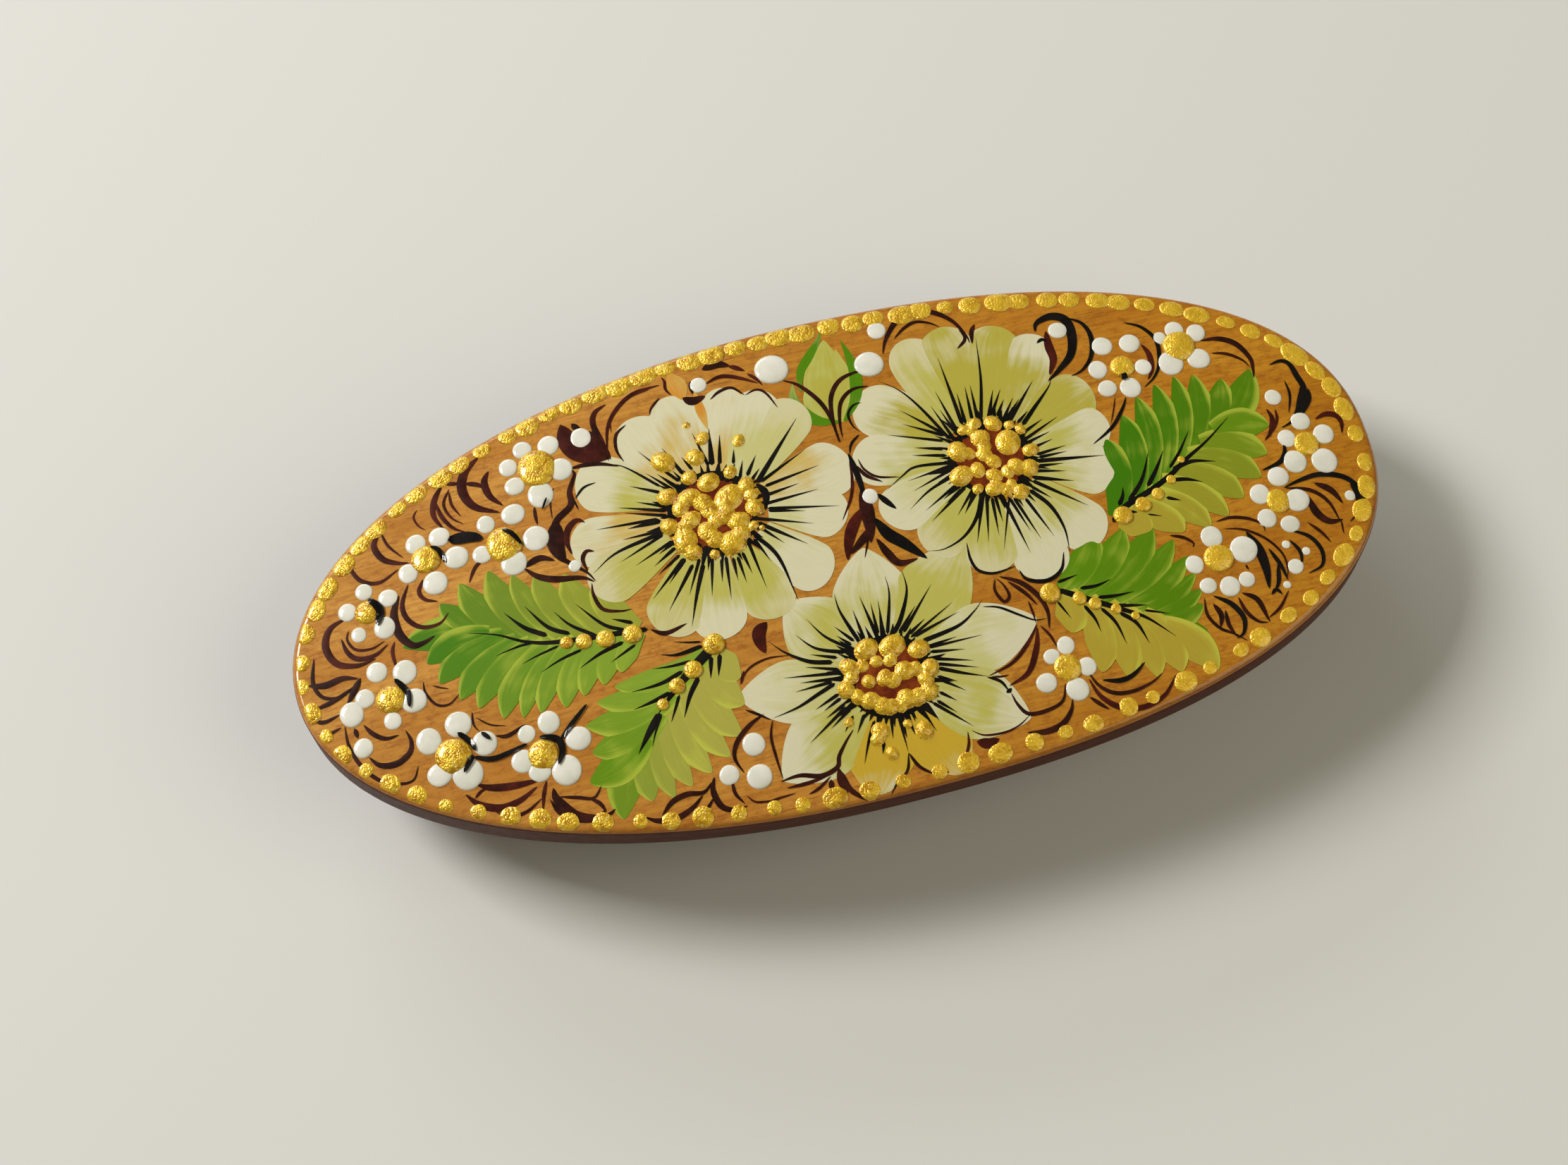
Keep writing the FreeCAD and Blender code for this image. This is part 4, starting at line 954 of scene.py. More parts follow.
# Curls and tendrils round the flowers: width, then x, y along each
MAROON_CURLS = [
    (1.5, -21.7, 18.7, -21.3, 16.6, -20.4, 15.2, -18.2, 14), (1.5, -20.6, 16, -19.7, 15.3, -18.4, 14.2),
    (0.7, -19.3, 17.3, -18.9, 16.2, -18.4, 15, -18, 13.9),
    (0.3, -42.9, 11.4, -43, 10.2, -42.3, 8.6, -40.7, 7.9, -38.7, 8.7),
    (0.45, -39.7, 12.8, -40.5, 11.6, -40, 10.1, -38.8, 9.3, -37.7, 9),
    (0.2, -39.7, 12.9, -39.3, 11.3, -38.5, 10.1, -38.1, 9.6),
    (0.15, -36, 14, -36.5, 13.3, -36.2, 12.3, -35.6, 11.7),
    (0.4, -33.3, 15.8, -34.3, 14.5, -34.7, 12.9, -34, 11.2),
    (0.3, -34.3, 14.3, -34, 12.6, -33.2, 11.2, -32.2, 10.5),
    (0.2, -32.8, 15.2, -33.6, 13.8, -33.2, 12.3, -32.2, 11.3),
    (0.2, -32.9, 14.9, -32.9, 13.5, -32.3, 12.1), (0.3, -33.4, 16, -32.5, 15.6, -31.5, 15.4),
    (0.65, -29.6, 17.6, -31.2, 16.3, -31.7, 14.5, -30.9, 12.7, -28.8, 11.5),
    (0.5, -29, 15.9, -29.6, 14.9, -29.4, 13.4, -28.4, 12.1),
    (0.35, -31.4, 15.3, -30.2, 14.8, -29.6, 14.2),
    (0.5, -44.2, 5.4, -45.8, 4.8, -46.5, 3.2, -45.8, 1.4, -44, 0.7, -42.3, 0.9),
    (0.35, -45, 3.6, -44.7, 2.2, -43.9, 1.3, -42.4, 1.2, -41, 1.9),
    (0.2, -44.2, 4.2, -44.5, 3.3, -43.9, 2.2, -42.5, 1.9, -41.2, 2.3),
    (0.35, -38.2, 7, -39.1, 5.2, -38.9, 3.7, -37.8, 2.6, -36.2, 2.5, -35.2, 3.3),
    (0.3, -36.8, 7.1, -37.4, 6, -37, 5.1, -35.9, 4.6), (0.25, -31, 7.6, -32.1, 6.8, -32.9, 5.5),
    (0.25, -40.4, 2, -40.8, 1, -40.7, -0.9), (0.5, -36.2, -12.7, -35, -13.4, -33, -13.8, -30.4, -13.9),
    (0.5, -37.2, -13.4, -36.2, -14.6, -34.5, -15.4, -32.7, -15.2, -31, -14.4),
    (0.2, -36.5, -14, -35.8, -13.5, -35.2, -13.4),
    (0.25, -35, -15.6, -33.8, -16.4, -32.3, -16.3, -30.8, -15.5),
    (0.25, -30.1, -14.1, -30.6, -15.2, -31, -16.6), (0.15, -13.7, -19.9, -13, -20.7, -11, -21),
    (0.2, -11.8, -10.2, -11.2, -9), (0.4, -17.2, 19.6, -18.4, 19, -18.8, 17.8, -18.4, 16, -18.1, 14.2),
    (0.3, -12, 20.2, -14.5, 20, -16.4, 18.8, -17.6, 17.1, -18.2, 14.5),
    (0.2, -13, 20, -15, 19.7, -17, 18.2, -17.4, 16.5),
    (0.45, -21.6, 8.4, -22.3, 8.8, -23.2, 8.2, -23.6, 7, -23.4, 5.6),
    (0.3, -21.4, 5.4, -22.1, 5.6, -22.6, 4.9, -22.4, 3.6),
    (0.2, -11.7, 21, -11.5, 20.4, -11.6, 19.6, -11.2, 18.8), (0.35, -5.5, 20.4, -4.9, 20.1, -4.1, 19.5),
    (0.3, -8, 19.1, -6.8, 19.5, -5.8, 19.4, -4.4, 18.7, -3.2, 17.9),
    (0.25, -4, 19.2, -3.3, 18.4, -2.9, 17.6), (0.22, 2.8, 8, 2.6, 6.2, 2, 4.4, 0.7, 2.4),
    (0.8, 2.8, 3.2, 1.5, 1.7, 0.7, 0.2, 0.2, -1.4), (0.9, -8.2, -5.2, -9.1, -6, -9.2, -7, -9, -8),
    (0.15, -11.9, -10.2, -10.8, -9, -9, -8.5, -7, -8.7), (0.25, -10.2, -20.2, -8, -20.2, -6, -19.9),
    (0.15, -12, -20.9, -9.5, -20.8), (0.2, -8.5, -21.2, -7.5, -20.9, -6.2, -20.1),
    (0.2, 6.3, -19.2, 6.1, -20.3, 5.6, -21.5, 6, -22.8),
    (0.15, 6.6, -19.2, 7.6, -19.9, 9.3, -20.1, 10.8, -19.8, 12, -19.1),
    (0.7, 6.8, -20.3, 7.8, -20.7, 8.8, -20.5), (0.15, 9.6, -15, 10.5, -15.2, 11.2, -15.2),
    (0.4, 14.8, -11.6, 14.2, -13.4, 12.9, -15.4, 10.9, -16.2),
    (0.25, 14.9, -11.3, 13.5, -12.9, 11.8, -14.2, 9.4, -14.9), (0.15, 14.7, -9, 14.8, -10.3, 14.8, -11.2),
    (0.2, 15.1, -11.5, 15.7, -12.6, 16, -13.8),
    (0.4, 17.9, -17.2, 18.5, -19, 20, -20.4, 22, -20.8, 24, -20.2, 25.6, -18.6),
    (0.6, 23.9, 16.6, 23.7, 15, 23.7, 13.5, 22.9, 12), (0.4, 32.1, 13.2, 32.5, 12, 32.3, 10.4, 31.6, 9.4),
    (0.1, 28.1, 8.4, 27.6, 7.2, 26.9, 5.8), (0.35, 41.4, 4.1, 41.6, 3, 41, 1.7, 40.2, 1),
    (0.2, 42.2, 3.9, 42, 2.8, 41.3, 1.7), (0.4, 45.5, 2.1, 46.6, 2.4, 47.5, 2.1, 47.8, 1.3, 47.5, 0.2),
    (0.2, 35.2, -15.5, 36.5, -14.8, 37.8, -13.4), (0.15, 34.7, -10.2, 34.8, -10.8),
]
DARK_CURLS = [
    (0.65, -39.2, 6.2, -40, 4.5, -39.9, 2.6, -39, 1.2, -38, 1.1, -36.8, 1.5),
    (0.5, -48.7, 0.1, -47.2, -0.3, -45.6, -0.1, -44.2, -0.5),
    (0.3, -47.7, 2.5, -48.2, 0.3, -47.7, -1.2, -46.5, -1.7, -45.1, -1.5),
    (0.35, -48.8, -2.3, -47, -2, -45.5, -1.5, -44.4, -1),
    (0.3, -48.6, -2.4, -48.5, -3.3, -47.8, -3.6, -46.4, -3.3), (0.5, -44, -0.5, -44.9, -1.7, -45.6, -2.6),
    (0.25, -48.6, -4.5, -47.8, -4.8, -46.5, -4.5),
    (0.3, -46.2, -4.4, -46.2, -6.3, -45.5, -8.4, -44.2, -10.1, -42.6, -10.9, -41.3, -10.9, -40.6, -9.7),
    (0.35, -44.6, -4.8, -43.9, -5.9, -42.9, -6.6, -41.7, -6.6),
    (0.45, -44.7, -7.8, -43.9, -8.8, -42.5, -9.1, -41.2, -8.5, -40.8, -7.5, -41.1, -6.3),
    (0.35, -45.4, -4.9, -45.3, -5.9),
    (0.2, -38.7, -2.4, -38.7, -3.5, -38, -4.8, -36.9, -5.1, -35.8, -4.4),
    (0.12, -38, -3, -37.3, -3.4, -36.6, -3.7), (0.15, -35.1, -6.3, -35.2, -7.5, -34.8, -8.3),
    (0.12, -34.9, -6.9, -33.8, -7.9, -32.4, -8.4), (0.3, -33.6, -9, -32.5, -9.3, -30.8, -8.7),
    (0.8, -29.7, -14.9, -29.6, -16, -28.4, -17.8, -26.4, -18.5, -25.8, -17.9),
    (0.35, -30.2, -15.8, -29.6, -17.2, -28, -18.3, -26.4, -18.8),
    (0.25, -29.4, -15.8, -27.8, -16.3, -26.5, -16.7, -25.6, -15.8),
    (0.3, -26.8, -16.7, -26.1, -17.3, -25.7, -18.2), (0.25, -26.2, -18.5, -25.4, -18.4, -24.9, -18.1),
    (0.45, -22.6, -19.5, -21.6, -20.1, -20, -20.3, -18.5, -19.8, -17.3, -18.9),
    (0.4, -21.2, -19.8, -20, -18.8, -18.6, -18.5, -17.2, -18.7, -16.3, -18),
    (0.45, -16, -17.6, -16.4, -18.8, -16, -20.3, -14.9, -20.9, -13.8, -20.8),
    (0.25, -18.5, -20.9, -17.3, -20.2, -16.4, -19.3), (0.25, -14.6, -18.3, -14.6, -19.5, -14, -20.6),
    (0.35, -10.5, -13.3, -12, -14, -13.4, -15.2, -13.9, -16.5, -13.4, -18),
    (0.5, -20.7, 18.5, -20, 17.3),
    (0.5, -18.8, 18.5, -18.7, 16.5, -18.2, 13.8),
    (0.5, -22.2, 14, -21.5, 13.5, -22.3, 11.8, -22.5, 10.4, -24, 9.3, -24.6, 8, -24.6, 6, -23.8, 4.9,
     -22.5, 3.6, -21.9, 2.5),
    (1.3, -24.1, 9.3, -24.6, 7, -24.2, 5), (0.35, -22, 14, -20.5, 14, -19, 13.7, -17.4, 13),
    (0.25, -15.9, 17, -17, 16.2, -17.3, 14.7, -16.9, 13.3), (0.2, -12.3, 18.9, -13.3, 18, -13.6, 17.3),
    (0.5, -27.9, 5.6, -26.3, 6.1, -25, 5.5),
    (0.5, -27.9, 5.6, -26.8, 4.4, -25.3, 3.7, -23, 3.2, -22, 2.5),
    (0.25, -25.7, 11.2, -25.8, 10.3, -25.8, 9.3), (0.12, -23.6, 12.6, -24.2, 11.3, -24.4, 9.5),
    (0.3, -22.3, 2.5, -22.4, 1.3, -21.9, -0.2, -20.5, -0.8, -19.4, -0.9),
    (0.35, -18.3, -3.2, -17, -3.9, -15, -3.5), (0.7, -10.3, 18.3, -9.5, 17.7, -8.2, 17.9),
    (0.4, -9.2, 19.8, -9.3, 18.4), (0.7, -7.9, 20.7, -6.5, 20.9, -5.3, 20.4),
    (0.25, -7.9, 17.4, -6.9, 18, -5.7, 18.1, -4.7, 17),
    (0.2, -4.7, 17, -3.6, 17.3, -2.8, 16.7, -2.1, 14.9),
    (0.35, -1, 17.6, 0.3, 16.7, 1.7, 14.6, 2.3, 12.5, 2.4, 10),
    (0.35, 6.7, 16.5, 5.7, 16.7, 4, 16.2, 2.8, 14.6, 2.4, 12, 2.5, 10),
    (0.3, 6.5, 15, 4.9, 15, 3.6, 14, 3, 12.2, 2.8, 10.4), (0.2, 3.6, 8, 3.9, 6.8, 4.9, 5.8, 6.8, 5.3),
    (0.3, 3.3, 7.4, 3.9, 6.2, 5.2, 5.2), (1, 3.1, 5, 3.1, 3, 2.9, 1, 2.6, -0.3),
    (0.6, 3.1, 1.2, 2, 0.2, 0.6, -0.9), (0.6, 3.2, 0, 3.8, -1.6, 4.6, -2.8, 6.3, -2.8),
    (0.15, 2.7, 0.8, 2.2, -0.5, 1.7, -1.6), (0.2, -12, -12.5, -11, -13.2, -10, -14),
    (0.2, -9.9, -14, -10.4, -15.5, -10.4, -17.5, -10.3, -19.4),
    (0.35, -10.6, -19.5, -8.8, -19.4, -7, -19.9, -5.5, -19.5, -5.1, -18.6, -4.2, -17.5, -3.3, -16.6),
    (0.4, -6.3, -20.4, -6.5, -21.5), (0.5, -5.4, -19.6, -5.5, -21, -5.2, -22),
    (0.4, -5.2, -20, -5, -21.5, -4.2, -22.5, -3.5, -23),
    (0.2, 0.8, -19.8, 0.3, -21.3, -0.9, -22.2, -1.6, -23), (0.25, 0.8, -19.8, 1.4, -21.2, 2.5, -22.2),
    (0.3, 2.5, -22.2, 3.8, -22.3),
    (0.3, 10.9, -16.8, 11.2, -18, 11.9, -19, 13.5, -19.1, 15.1, -18.6, 15.8, -17.1),
    (0.45, 11.3, -20.6, 13, -20.9, 14.5, -20.6, 15.6, -19.6, 16, -18.6),
    (0.4, 12.8, -6.2, 14.5, -7.2, 15.7, -8.8, 16.1, -10.4, 15.8, -12),
    (0.3, 13.4, -6.8, 14.6, -8.2, 15.4, -9.6),
    (0.25, 12.4, -6.3, 12.1, -7.4, 12.6, -8.6, 13.2, -8.2, 13, -7.1, 12.5, -6.3),
    (0.3, 18, -16.5, 18.6, -18, 19.8, -19, 21.5, -19.2, 23.3, -18.8, 24.4, -18.2),
    (0.3, 17.5, -18.8, 18.2, -19.6, 18.9, -20.3),
    (0.45, 8.6, 17.9, 9.3, 19.4, 10.8, 21.1, 12.5, 21.8, 14.3, 21.1, 15.8, 19.7, 16.6, 17.9, 16.7, 17),
    (0.25, 10, 19.2, 11.2, 20.1, 12.4, 20.5, 13.6, 20.1, 14.5, 19.4),
    (0.35, 17.7, 18.9, 17.2, 18.2, 16.9, 16.9), (0.25, 15.4, 16.7, 16.4, 17.6, 16.1, 18.8),
    (0.45, 37.6, 12.3, 39.4, 12.1, 40.8, 11.2, 41.6, 9.5, 41.5, 8.3, 41.3, 7.4),
    (0.25, 38.2, 10.8, 39.6, 10.4, 40.8, 9.5, 41.3, 8.6),
    (0.3, 40.5, -3.9, 42.7, -4.6, 44, -6, 44.5, -8.2), (0.6, 42.3, -5, 42.6, -6.8, 43.5, -7.9, 44.8, -8),
    (0.5, 43.3, -4, 44.6, -5, 45.3, -6.5), (0.12, 44.6, -8, 44.4, -9.4),
    (0.25, 33.3, -5.7, 34.8, -5.6, 36.4, -6.1, 37.4, -6.9, 37.4, -7.6),
    (0.2, 33.8, -6.5, 35.6, -7, 37.3, -8.3, 38.3, -10, 38.3, -11.5, 37.9, -12.4),
    (0.25, 41.5, -7.6, 42.4, -8.7, 43, -9.9), (0.25, 28.8, -6, 30, -6.5, 30.7, -7.2, 30.5, -7.6),
    (0.25, 30.1, -12.4, 29.9, -14, 30.6, -15.4, 31.7, -16.2, 32.7, -17.1),
    (0.4, 30.7, -13.1, 31.1, -14.3, 30.7, -15.4), (0.3, 31.6, -13.9, 31.5, -15.3, 31.9, -16.6),
    (0.3, 33.1, -13, 33.4, -14.5, 34.2, -15.6, 35.1, -15.9),
    (0.4, 33.5, -12.7, 34.7, -13.6, 35.1, -15.4, 35.2, -15.9),
]
BLACK_CURLS = [
    (0.2, -22, 10.9, -21, 11.8, -19.8, 12), (0.15, -22.2, 11.2, -21.9, 9.7),
    (0.2, 5.4, 13.5, 4.6, 13.4, 3.9, 12.6, 4, 11.4, 4.5, 10.6), (0.2, 4.4, 10.4, 3.4, 9.6, 3, 8.6),
    (0.5, 2.9, 8.8, 3.1, 7, 3.2, 5, 3, 3.5), (1, 3.5, 2, 4.3, 0.2, 5.4, -1, 7.1, -3),
    (0.5, 4.4, 4.2, 4.9, 3.4, 5.7, 2.3), (0.25, 9.2, -14.9, 10.3, -15.6, 10.8, -16.7),
    (0.6, 10.7, -16.4, 10.9, -16.8), (0.2, 10.6, -8.6, 12, -9, 13.7, -10.2, 14.8, -10.9, 15.9, -11),
    (0.25, 10.9, -2.4, 10.8, -4, 11.2, -5.2, 12.5, -5.8, 14.6, -5.6),
    (0.35, 14.7, -6, 15.2, -7.1, 16.9, -7.6, 18.4, -6.9, 19.1, -5.3),
    (0.4, 19, -17.6, 20.5, -18, 21.8, -17.8, 23.2, -16.9),
    (0.8, 22.9, 16.7, 23.3, 17.6, 24.8, 18, 26, 17.3, 26.1, 15.5, 25.4, 13.6, 23.9, 12.3, 22.6, 11.4),
    (0.4, 26.2, 17.5, 27.4, 16.6, 27.8, 15, 27.2, 13, 26, 11.8, 24.8, 11.4),
    (0.3, 22.7, 15.5, 23.3, 15.8, 23.9, 15.3),
    (0.35, 31.2, 15.8, 32.7, 14.9, 33.6, 13.2, 33.2, 11, 32.3, 9.6, 31, 8.7),
    (0.3, 29.1, 8.2, 28.5, 7.2, 27.3, 5.8, 26.2, 5, 24.7, 4.2),
    (0.5, 43.1, 8.4, 44.3, 8.6, 45, 8.1, 45.3, 6.7, 45.5, 5.4, 44.9, 3.9, 43.4, 2.4, 42.1, 1.9),
    (0.2, 44, 6.6, 44, 5, 43.3, 3.2), (0.4, 45.9, 5.3, 45.6, 4.2, 44.5, 2.8),
    (0.4, 41.9, 0.5, 41.6, -0.6, 40.8, -1.4, 39, -1.8),
    (0.45, 40.4, -3.9, 42, -3.5, 44, -3.3, 46, -3.9, 47.1, -5.1, 47.3, -6.8, 46.5, -7.6, 45.3, -8.4),
    (0.8, 35.7, -7.2, 36.3, -9, 36.4, -11, 36.1, -12.9), (0.35, 37.2, -9.2, 37.8, -11, 38, -12.5),
    (0.35, 37.6, -10.8, 37.1, -12.5, 36.4, -13.3), (0.3, 36.1, -13.5, 36.7, -13.1, 37.1, -13.7),
    (0.3, 39.3, -8.8, 39.9, -10, 39.8, -11, 39.3, -11.4),
    (0.35, 39.6, -7.9, 41.2, -8.9, 41.9, -10.4, 41.5, -11.8, 40, -12.3),
    (0.45, 30.9, -12.4, 32.3, -13.5, 33, -15, 32.6, -16.3, 31.8, -16.7),
    (0.6, -5.9, 8, -5.3, 6.8, -5.7, 5.2), (0.6, -1.6, -9.2, -2.2, -9.7),
    (1.0, 45.4, 5.8, 45.3, 4.7, 44.5, 3.4, 43.6, 2.7), (0.8, 46.6, -4.7, 47.1, -5.9, 46.8, -6.9, 45.9, -7.8),
]

# The flowers: the centre, petals, rays and gold lumps of each, and the radius of its heart
FLOWERS = {
    "left": (LEFT_CENTRE, LEFT_PETALS, LEFT_RAYS, LEFT_LUMPS, 4.3),
    "right": (RIGHT_CENTRE, RIGHT_PETALS, RIGHT_RAYS, RIGHT_LUMPS, 4.0),
    "bottom": (BOTTOM_CENTRE, BOTTOM_PETALS, BOTTOM_RAYS, BOTTOM_LUMPS, 4.0),
}


def paint_petals(name, petals, paired, material):
    """The petals of one flower. In a notched petal, the two halves swell away from each other."""
    sheet = Sheet()
    for k, (bx, by, tx, ty, width, white, under) in enumerate(petals):
        bulge = 0.0
        if paired:
            partner = petals[k ^ 1]
            cross = (tx - bx) * (partner[3] - by) - (ty - by) * (partner[2] - bx)
            bulge = -0.35 if cross > 0 else 0.35
        over = CREAM if white > 0.5 else WARM_WHITE
        load = (white - 0.4, white + 0.25, 0.15 * (bulge >= 0), 0.15 * (bulge <= 0))
        path = arc((bx, by), (tx, ty), bulge)
        if paired:
            dab(sheet, path, width * 0.94, under, over, load, peak=0.74, root=0.4)
        else:
            dab(sheet, path, width, under, over, load, peak=0.52, root=0.45, point=0.75)
    sheet.make(name, material, "petal_paint")


def blend(first, last, share):
    """A colour between two others."""
    return tuple(a + (b - a) * share for a, b in zip(first, last))


def paint_leaf(name, vein, sides, light, material):
    """Dabs from the middle vein out to each tip, the outer ones first, lighter along the edge that faces
    the leaf's end and darker along the other. Each side has its tips, its colours at the leaf's base and end,
    and how early they change.
    """
    sheet = Sheet()
    path = curve_through(vein)
    for tips, first, last, power in sides:
        for k in reversed(range(len(tips))):
            share = (k + 0.5) / len(tips)
            at = int((len(path) - 2) * share * 0.94)
            root, along = path[at], path[at + 1] - path[at]
            reach = np.array(tips[k]) - root
            turn = -1 if along[0] * reach[1] - along[1] * reach[0] > 0 else 1
            near = [math.dist(tips[k], tips[j]) for j in (k - 1, k + 1) if 0 <= j < len(tips)]
            width = min(3.2, max(2.0, 1.25 * sum(near) / len(near)))
            colour = blend(first, last, share**power)
            edge = light * RNG.uniform(0.9, 1.4)
            path_out = arc(root, tips[k], 0.1 * turn * np.hypot(*reach))
            under, over = blend(colour, DEEP_GREEN, 0.1), blend(colour, LEAF_LIGHT, 0.6)
            load = (0.14, 0.2, edge, -0.35) if turn > 0 else (0.14, 0.2, -0.35, edge)
            dab(sheet, path_out, width, under, over, load, peak=0.56, root=0.6, point=0.6, lift=LEAF_LIFT)
    sheet.make(name, material, "leaf_paint")


def paint_bud(material):
    """A closed bud in its sepals, and two orange strokes by the left flower's top petals."""
    sheet = Sheet()
    green, olive, light = srgb(82, 134, 2), srgb(184, 176, 72), srgb(190, 196, 110)
    shapes = [
        ([(2.1, 12.6), (1.3, 14.6), (1.4, 17.0)], 2.0, olive, light, 0.5),
        ([(2.6, 12.0), (2.9, 16.5), (3.7, 20.8)], 4.3, olive, light, 0.3),
        ([(3.2, 12.0), (4.3, 15.5), (4.5, 19.6)], 1.9, olive, light, 0.4),
        ([(2.9, 12.1), (1.2, 12.6), (0.0, 13.8), (-0.5, 15.4), (-0.2, 17.1)], 1.25, green, light, 0.0),
        ([(0.3, 16.0), (0.8, 18.0), (2.1, 19.6), (3.2, 20.9), (3.7, 22.0)], 0.9, green, light, 0.1),
        ([(3.4, 12.0), (4.9, 13.9), (5.6, 16.4), (5.5, 18.6), (5.2, 20.4)], 1.2, green, light, 0.0),
        ([(-10.2, 18.1), (-10.5, 19.6), (-11.0, 21.3)], 1.8, ORANGE, HONEY, 0.3),
        ([(-9.1, 18.6), (-9.0, 16.8), (-8.8, 14.4)], 0.9, ORANGE, HONEY, 0.3),
    ]
    for path, width, under, over, white in shapes:
        load = (white - 0.1, white + 0.2, 0.1, 0.1)
        dab(sheet, curve_through(path), width, under, over, load, peak=0.5, root=0.2, point=0.9)
    sheet.make("bud", material, "leaf_paint")


def paint_lines(name, strokes, material, taper=(0.1, 0.1), peak=0.4, lift=LINE_LIFT, bold=1.15, sharp=0.8):
    """Fine strokes, each given as its width and then x, y along it. bold makes them all wider."""
    sheet = Sheet()
    for width, *numbers in strokes:
        points = list(zip(numbers[::2], numbers[1::2]))
        line(sheet, points, width * bold, taper, lift, peak, sharp)
    sheet.make(name, material, "line_paint")


def paint_flower(side, petal_paint, black, amber, gold):
    """The petals, the rays and their roots, and a dark heart under a heap of gold."""
    centre, petals, rays, lumps, size = FLOWERS[side]
    paint_petals("petals_" + side, petals, side != "bottom", petal_paint)
    paint_lines("rays_" + side, rays, black, taper=(0.03, 1.0), peak=0.95, bold=1.05, sharp=1.2)
    roots = burst(centre, size - 0.2, 1.9, 40)
    paint_lines("roots_" + side, roots, black, taper=(0.03, 1.0), peak=0.9, bold=1.0, sharp=1.1)
    for name, inset, height, paint in (("heart_edge_", 0.15, 0.05, black), ("heart_", 0.6, 0.08, amber)):
        ground = Sheet()
        drop(ground, *centre, size - inset, height, rings=8, around=40, lift=HEART_LIFT)
        ground.make(name + side, paint, "line_paint")
    heart = Sheet()
    heap(heart, lumps)
    heart.make("gold_heart_" + side, gold, "gold_paint")


def place_border(border):
    """The gold dots along the outline, each one across its radius."""
    edge, inward = outline(BORDER_STEPS)
    for k in range(BORDER_DOTS):
        share = (k + RNG.uniform(-0.12, 0.12)) / BORDER_DOTS
        # Closest together in the middle of the far side, and farthest apart on the near side
        share += BORDER_CROWDING * math.sin(2 * math.pi * (share - 0.77))
        at = int(BORDER_STEPS * share) % BORDER_STEPS
        place, into = edge[at], inward[at]
        x, y = place + into * (RNG.uniform(0.75, 1.0) + 0.4 * smooth(-35, 20, place[0]))
        far, right = smooth(-5, 15, place[1]), smooth(25, 45, place[0])
        r = RNG.uniform(0.6, 1.0) + 0.1 * far - 0.07 * right
        turn = math.degrees(math.atan2(into[1], into[0]))
        tall = RNG.uniform(0.95, 1.2) + 0.15 * far + 0.25 * right
        drop(border, x, y, r, 0.15 * r + 0.03, tall=tall, turn=turn, rough=0.14)


def place_dots(gold):
    """White and gold drops: berry flowers, single berries, leaf beads and the border."""
    white, middles, beads, border = Sheet(), Sheet(), Sheet(), Sheet()
    for (x, y, r), dots, _ in BERRIES:
        drop(middles, x, y, r, 0.24 * r + 0.08, tall=RNG.uniform(0.92, 1.1), rough=0.10)
        for dot in dots:
            drop(white, *dot, height=0.16 * dot[2] + 0.04, tall=RNG.uniform(0.94, 1.08))
    for dot in SINGLE_DOTS:
        drop(white, *dot, height=0.16 * dot[2] + 0.04, tall=RNG.uniform(0.92, 1.08))
    for x, y, r in LEAF_BEADS:
        drop(beads, x, y, r, 0.4 * r, rough=0.08, lift=BEAD_LIFT)
    place_border(border)
    white.make("white_berries", white_paint(), "white_dot_paint")
    middles.make("gold_berries", gold, "gold_paint")
    beads.make("gold_beads", gold, "gold_paint")
    border.make("gold_border", gold, "gold_paint")


def build_painting():
    """All the paint on the plate's face, from the ground up. The strokes over berries come after them."""
    petal_paint = brushed_paint("petal_paint", contrast=0.2)
    leaf_paint = brushed_paint("leaf_paint", contrast=0.2)
    black = line_paint("black_paint", srgb(5, 4, 3), srgb(20, 13, 9))
    dark = line_paint("dark_brown_paint", srgb(34, 8, 3), srgb(66, 22, 9))
    maroon = line_paint("maroon_paint", srgb(52, 11, 5), srgb(86, 26, 12))
    amber = line_paint("amber_paint", srgb(92, 26, 8), srgb(150, 70, 14))
    gold = gold_paint()
    paint_lines("maroon_curls", MAROON_CURLS, maroon, lift=CURL_LIFT, bold=1.35)
    paint_lines("dark_curls", DARK_CURLS, dark, lift=CURL_LIFT + 0.004, bold=1.25)
    for side in FLOWERS:
        paint_flower(side, petal_paint, black, amber, gold)
    for name, (vein, sides, light) in LEAVES.items():
        paint_leaf(name, vein, sides, light, leaf_paint)
    paint_bud(leaf_paint)
    paint_lines("leaf_veins", LEAF_VEINS, black, taper=(0.8, 0.04), peak=0.15, sharp=1.1)
    paint_lines("black_curls", BLACK_CURLS, black)
    place_dots(gold)
    strokes = [stroke for _, _, more in BERRIES for stroke in more]
    paint_lines("berry_strokes", strokes, black, taper=(0.5, 0.4), lift=BERRY_STROKE_LIFT, bold=1.4)


# ------------------------------------------------------------------ the clip, floor, light and camera


def finish_clip():
    """Metal on every node of the CAD. The plate's own node is hidden later, by the piece that replaces it."""
    nickel = metal("nickel_steel", srgb(214, 211, 204), srgb(188, 184, 176), 0.22)
    spring = metal("spring_steel", srgb(204, 202, 198), srgb(176, 174, 170), 0.3)
    zinc = metal("zinc_screw", srgb(196, 198, 200), srgb(168, 170, 172), 0.34, (0.6, 0.6, 0.6))
    special = {"tension_bow": spring, "mounting_screws": zinc}
    for name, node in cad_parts.items():
        node.data.materials.clear()
        node.data.materials.append(special.get(name, nickel))


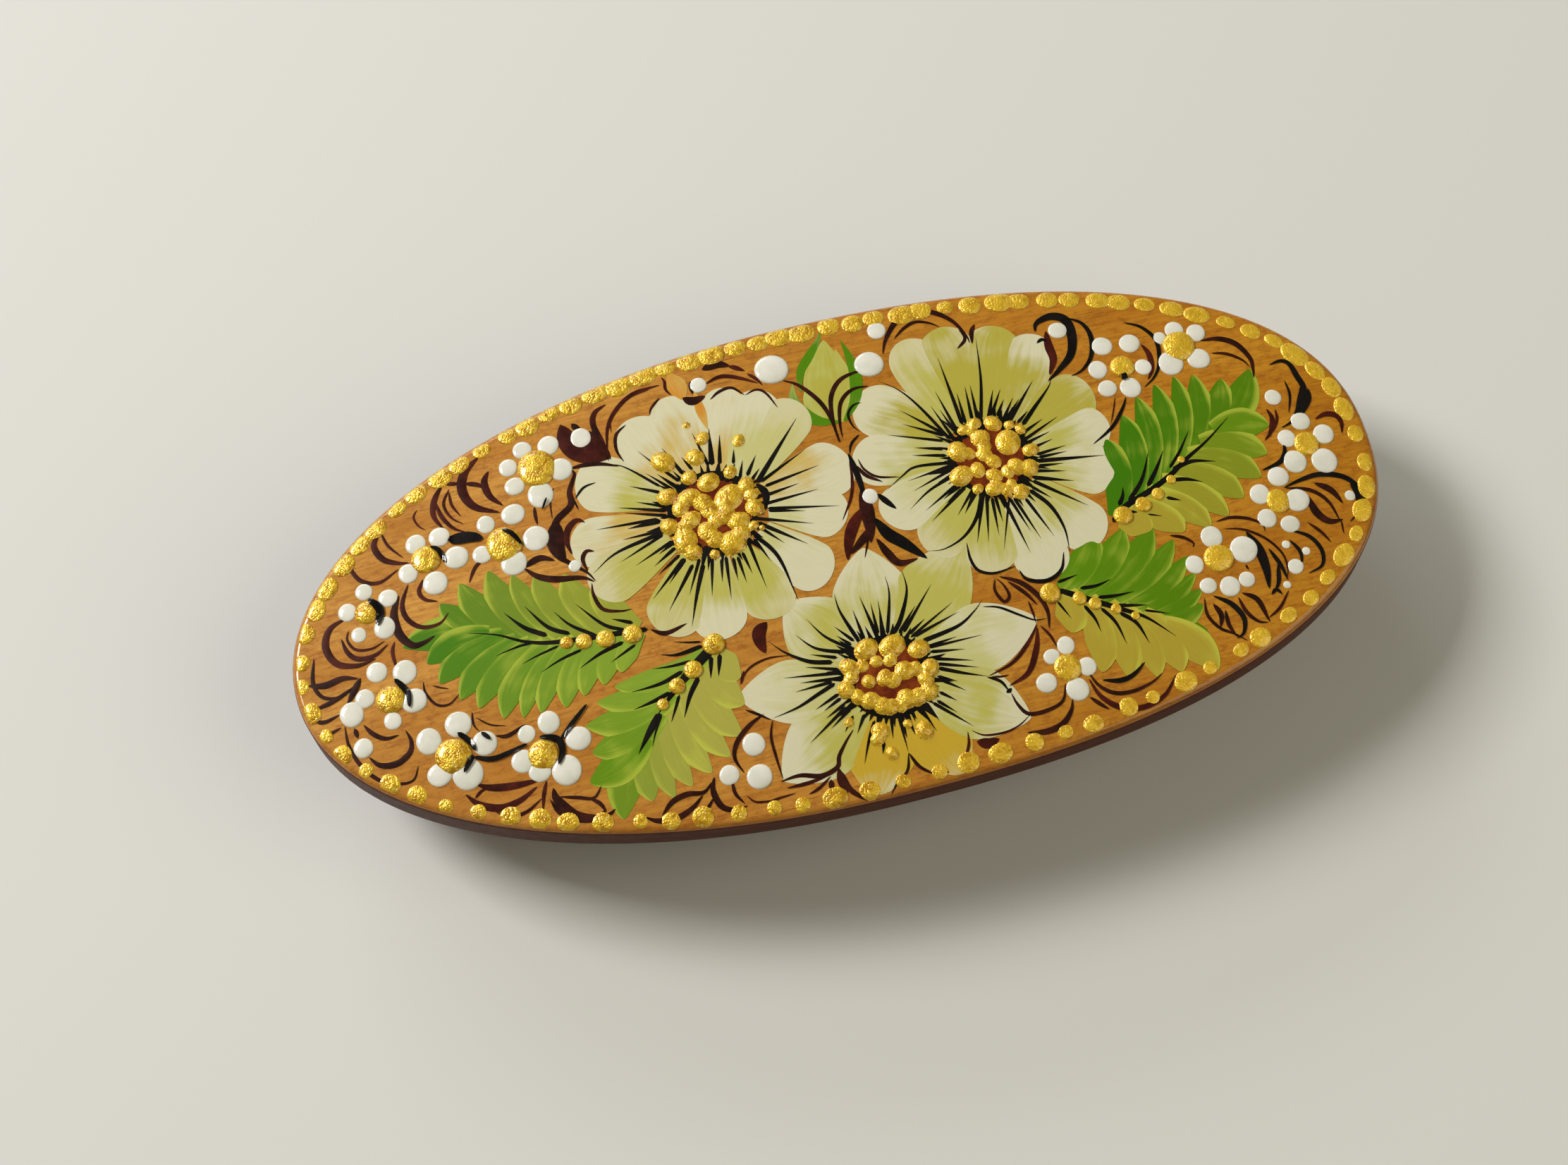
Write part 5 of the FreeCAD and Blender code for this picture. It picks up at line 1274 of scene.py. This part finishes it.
def area_light(name, place, target, size, power, colour):
    """A rectangular soft light that faces its target."""
    data = bpy.data.lights.new(name, "AREA")
    data.shape = "RECTANGLE"
    data.size, data.size_y = size
    data.energy = power
    data.color = colour
    lamp = bpy.data.objects.new(name, data)
    lamp.location = place
    lamp.rotation_euler = (Vector(target) - Vector(place)).to_track_quat("-Z", "Y").to_euler()
    bpy.context.scene.collection.objects.link(lamp)


def build_studio():
    """A pale floor, three soft lights and a dim even world."""
    floor = bpy.data.meshes.new("floor")
    size = 1.5
    corners = [(-size, -size, 0), (size, -size, 0), (size, size, 0), (-size, size, 0)]
    floor.from_pydata(corners, [], [(0, 1, 2, 3)])
    ground = bpy.data.objects.new("floor", floor)
    bpy.context.scene.collection.objects.link(ground)
    m = Nodes("pale_floor")
    floor.materials.append(m.finish(srgb(222, 222, 220), 0.8))
    area_light("key", (-0.54, 0.42, 0.60), (0, 0, 0.01), (0.3, 0.3), 6.8, (1.0, 0.97, 0.92))
    area_light("fill", (0.5, -0.3, 0.5), (0.02, 0, 0.01), (0.6, 0.6), 1.85, (1.0, 0.93, 0.7))
    area_light("window", (-0.25, 0.8, 0.4), (0, 0, 0.01), (0.6, 0.2), 2.2, (0.95, 0.97, 1.0))
    world = bpy.data.worlds.new("studio")
    world.use_nodes = True
    sky = world.node_tree.nodes["Background"]
    sky.inputs["Color"].default_value = (1.0, 0.95, 0.8, 1.0)
    sky.inputs["Strength"].default_value = 0.11
    bpy.context.scene.world = world
    bpy.context.scene.view_settings.view_transform = "Standard"


def place_camera():
    """Looks down at the plate from the front left, at 68 degrees above the floor."""
    azimuth, rise, distance = math.radians(-14.7), math.radians(68), 0.236
    target = Vector((0, 0, 0.012))
    back = Vector((math.sin(azimuth) * math.cos(rise), -math.cos(azimuth) * math.cos(rise), math.sin(rise)))
    data = bpy.data.cameras.new("camera")
    data.lens = 60
    data.shift_x, data.shift_y = -0.0368, -0.0139
    data.clip_start = 0.01
    camera = bpy.data.objects.new("camera", data)
    camera.location = target + distance * back
    camera.rotation_euler = back.to_track_quat("Z", "Y").to_euler()
    bpy.context.scene.collection.objects.link(camera)
    bpy.context.scene.camera = camera


finish_clip()
build_plate(
    wood_material("lacquered_wood", (1.0, 1.0, 1.0), LACQUER),
    # The side and back: a dark stain that also paints in the shade on the side
    wood_material("side_wood", (0.24, 0.14, 0.08), SIDE_FINISH),
)
build_painting()
build_studio()
place_camera()
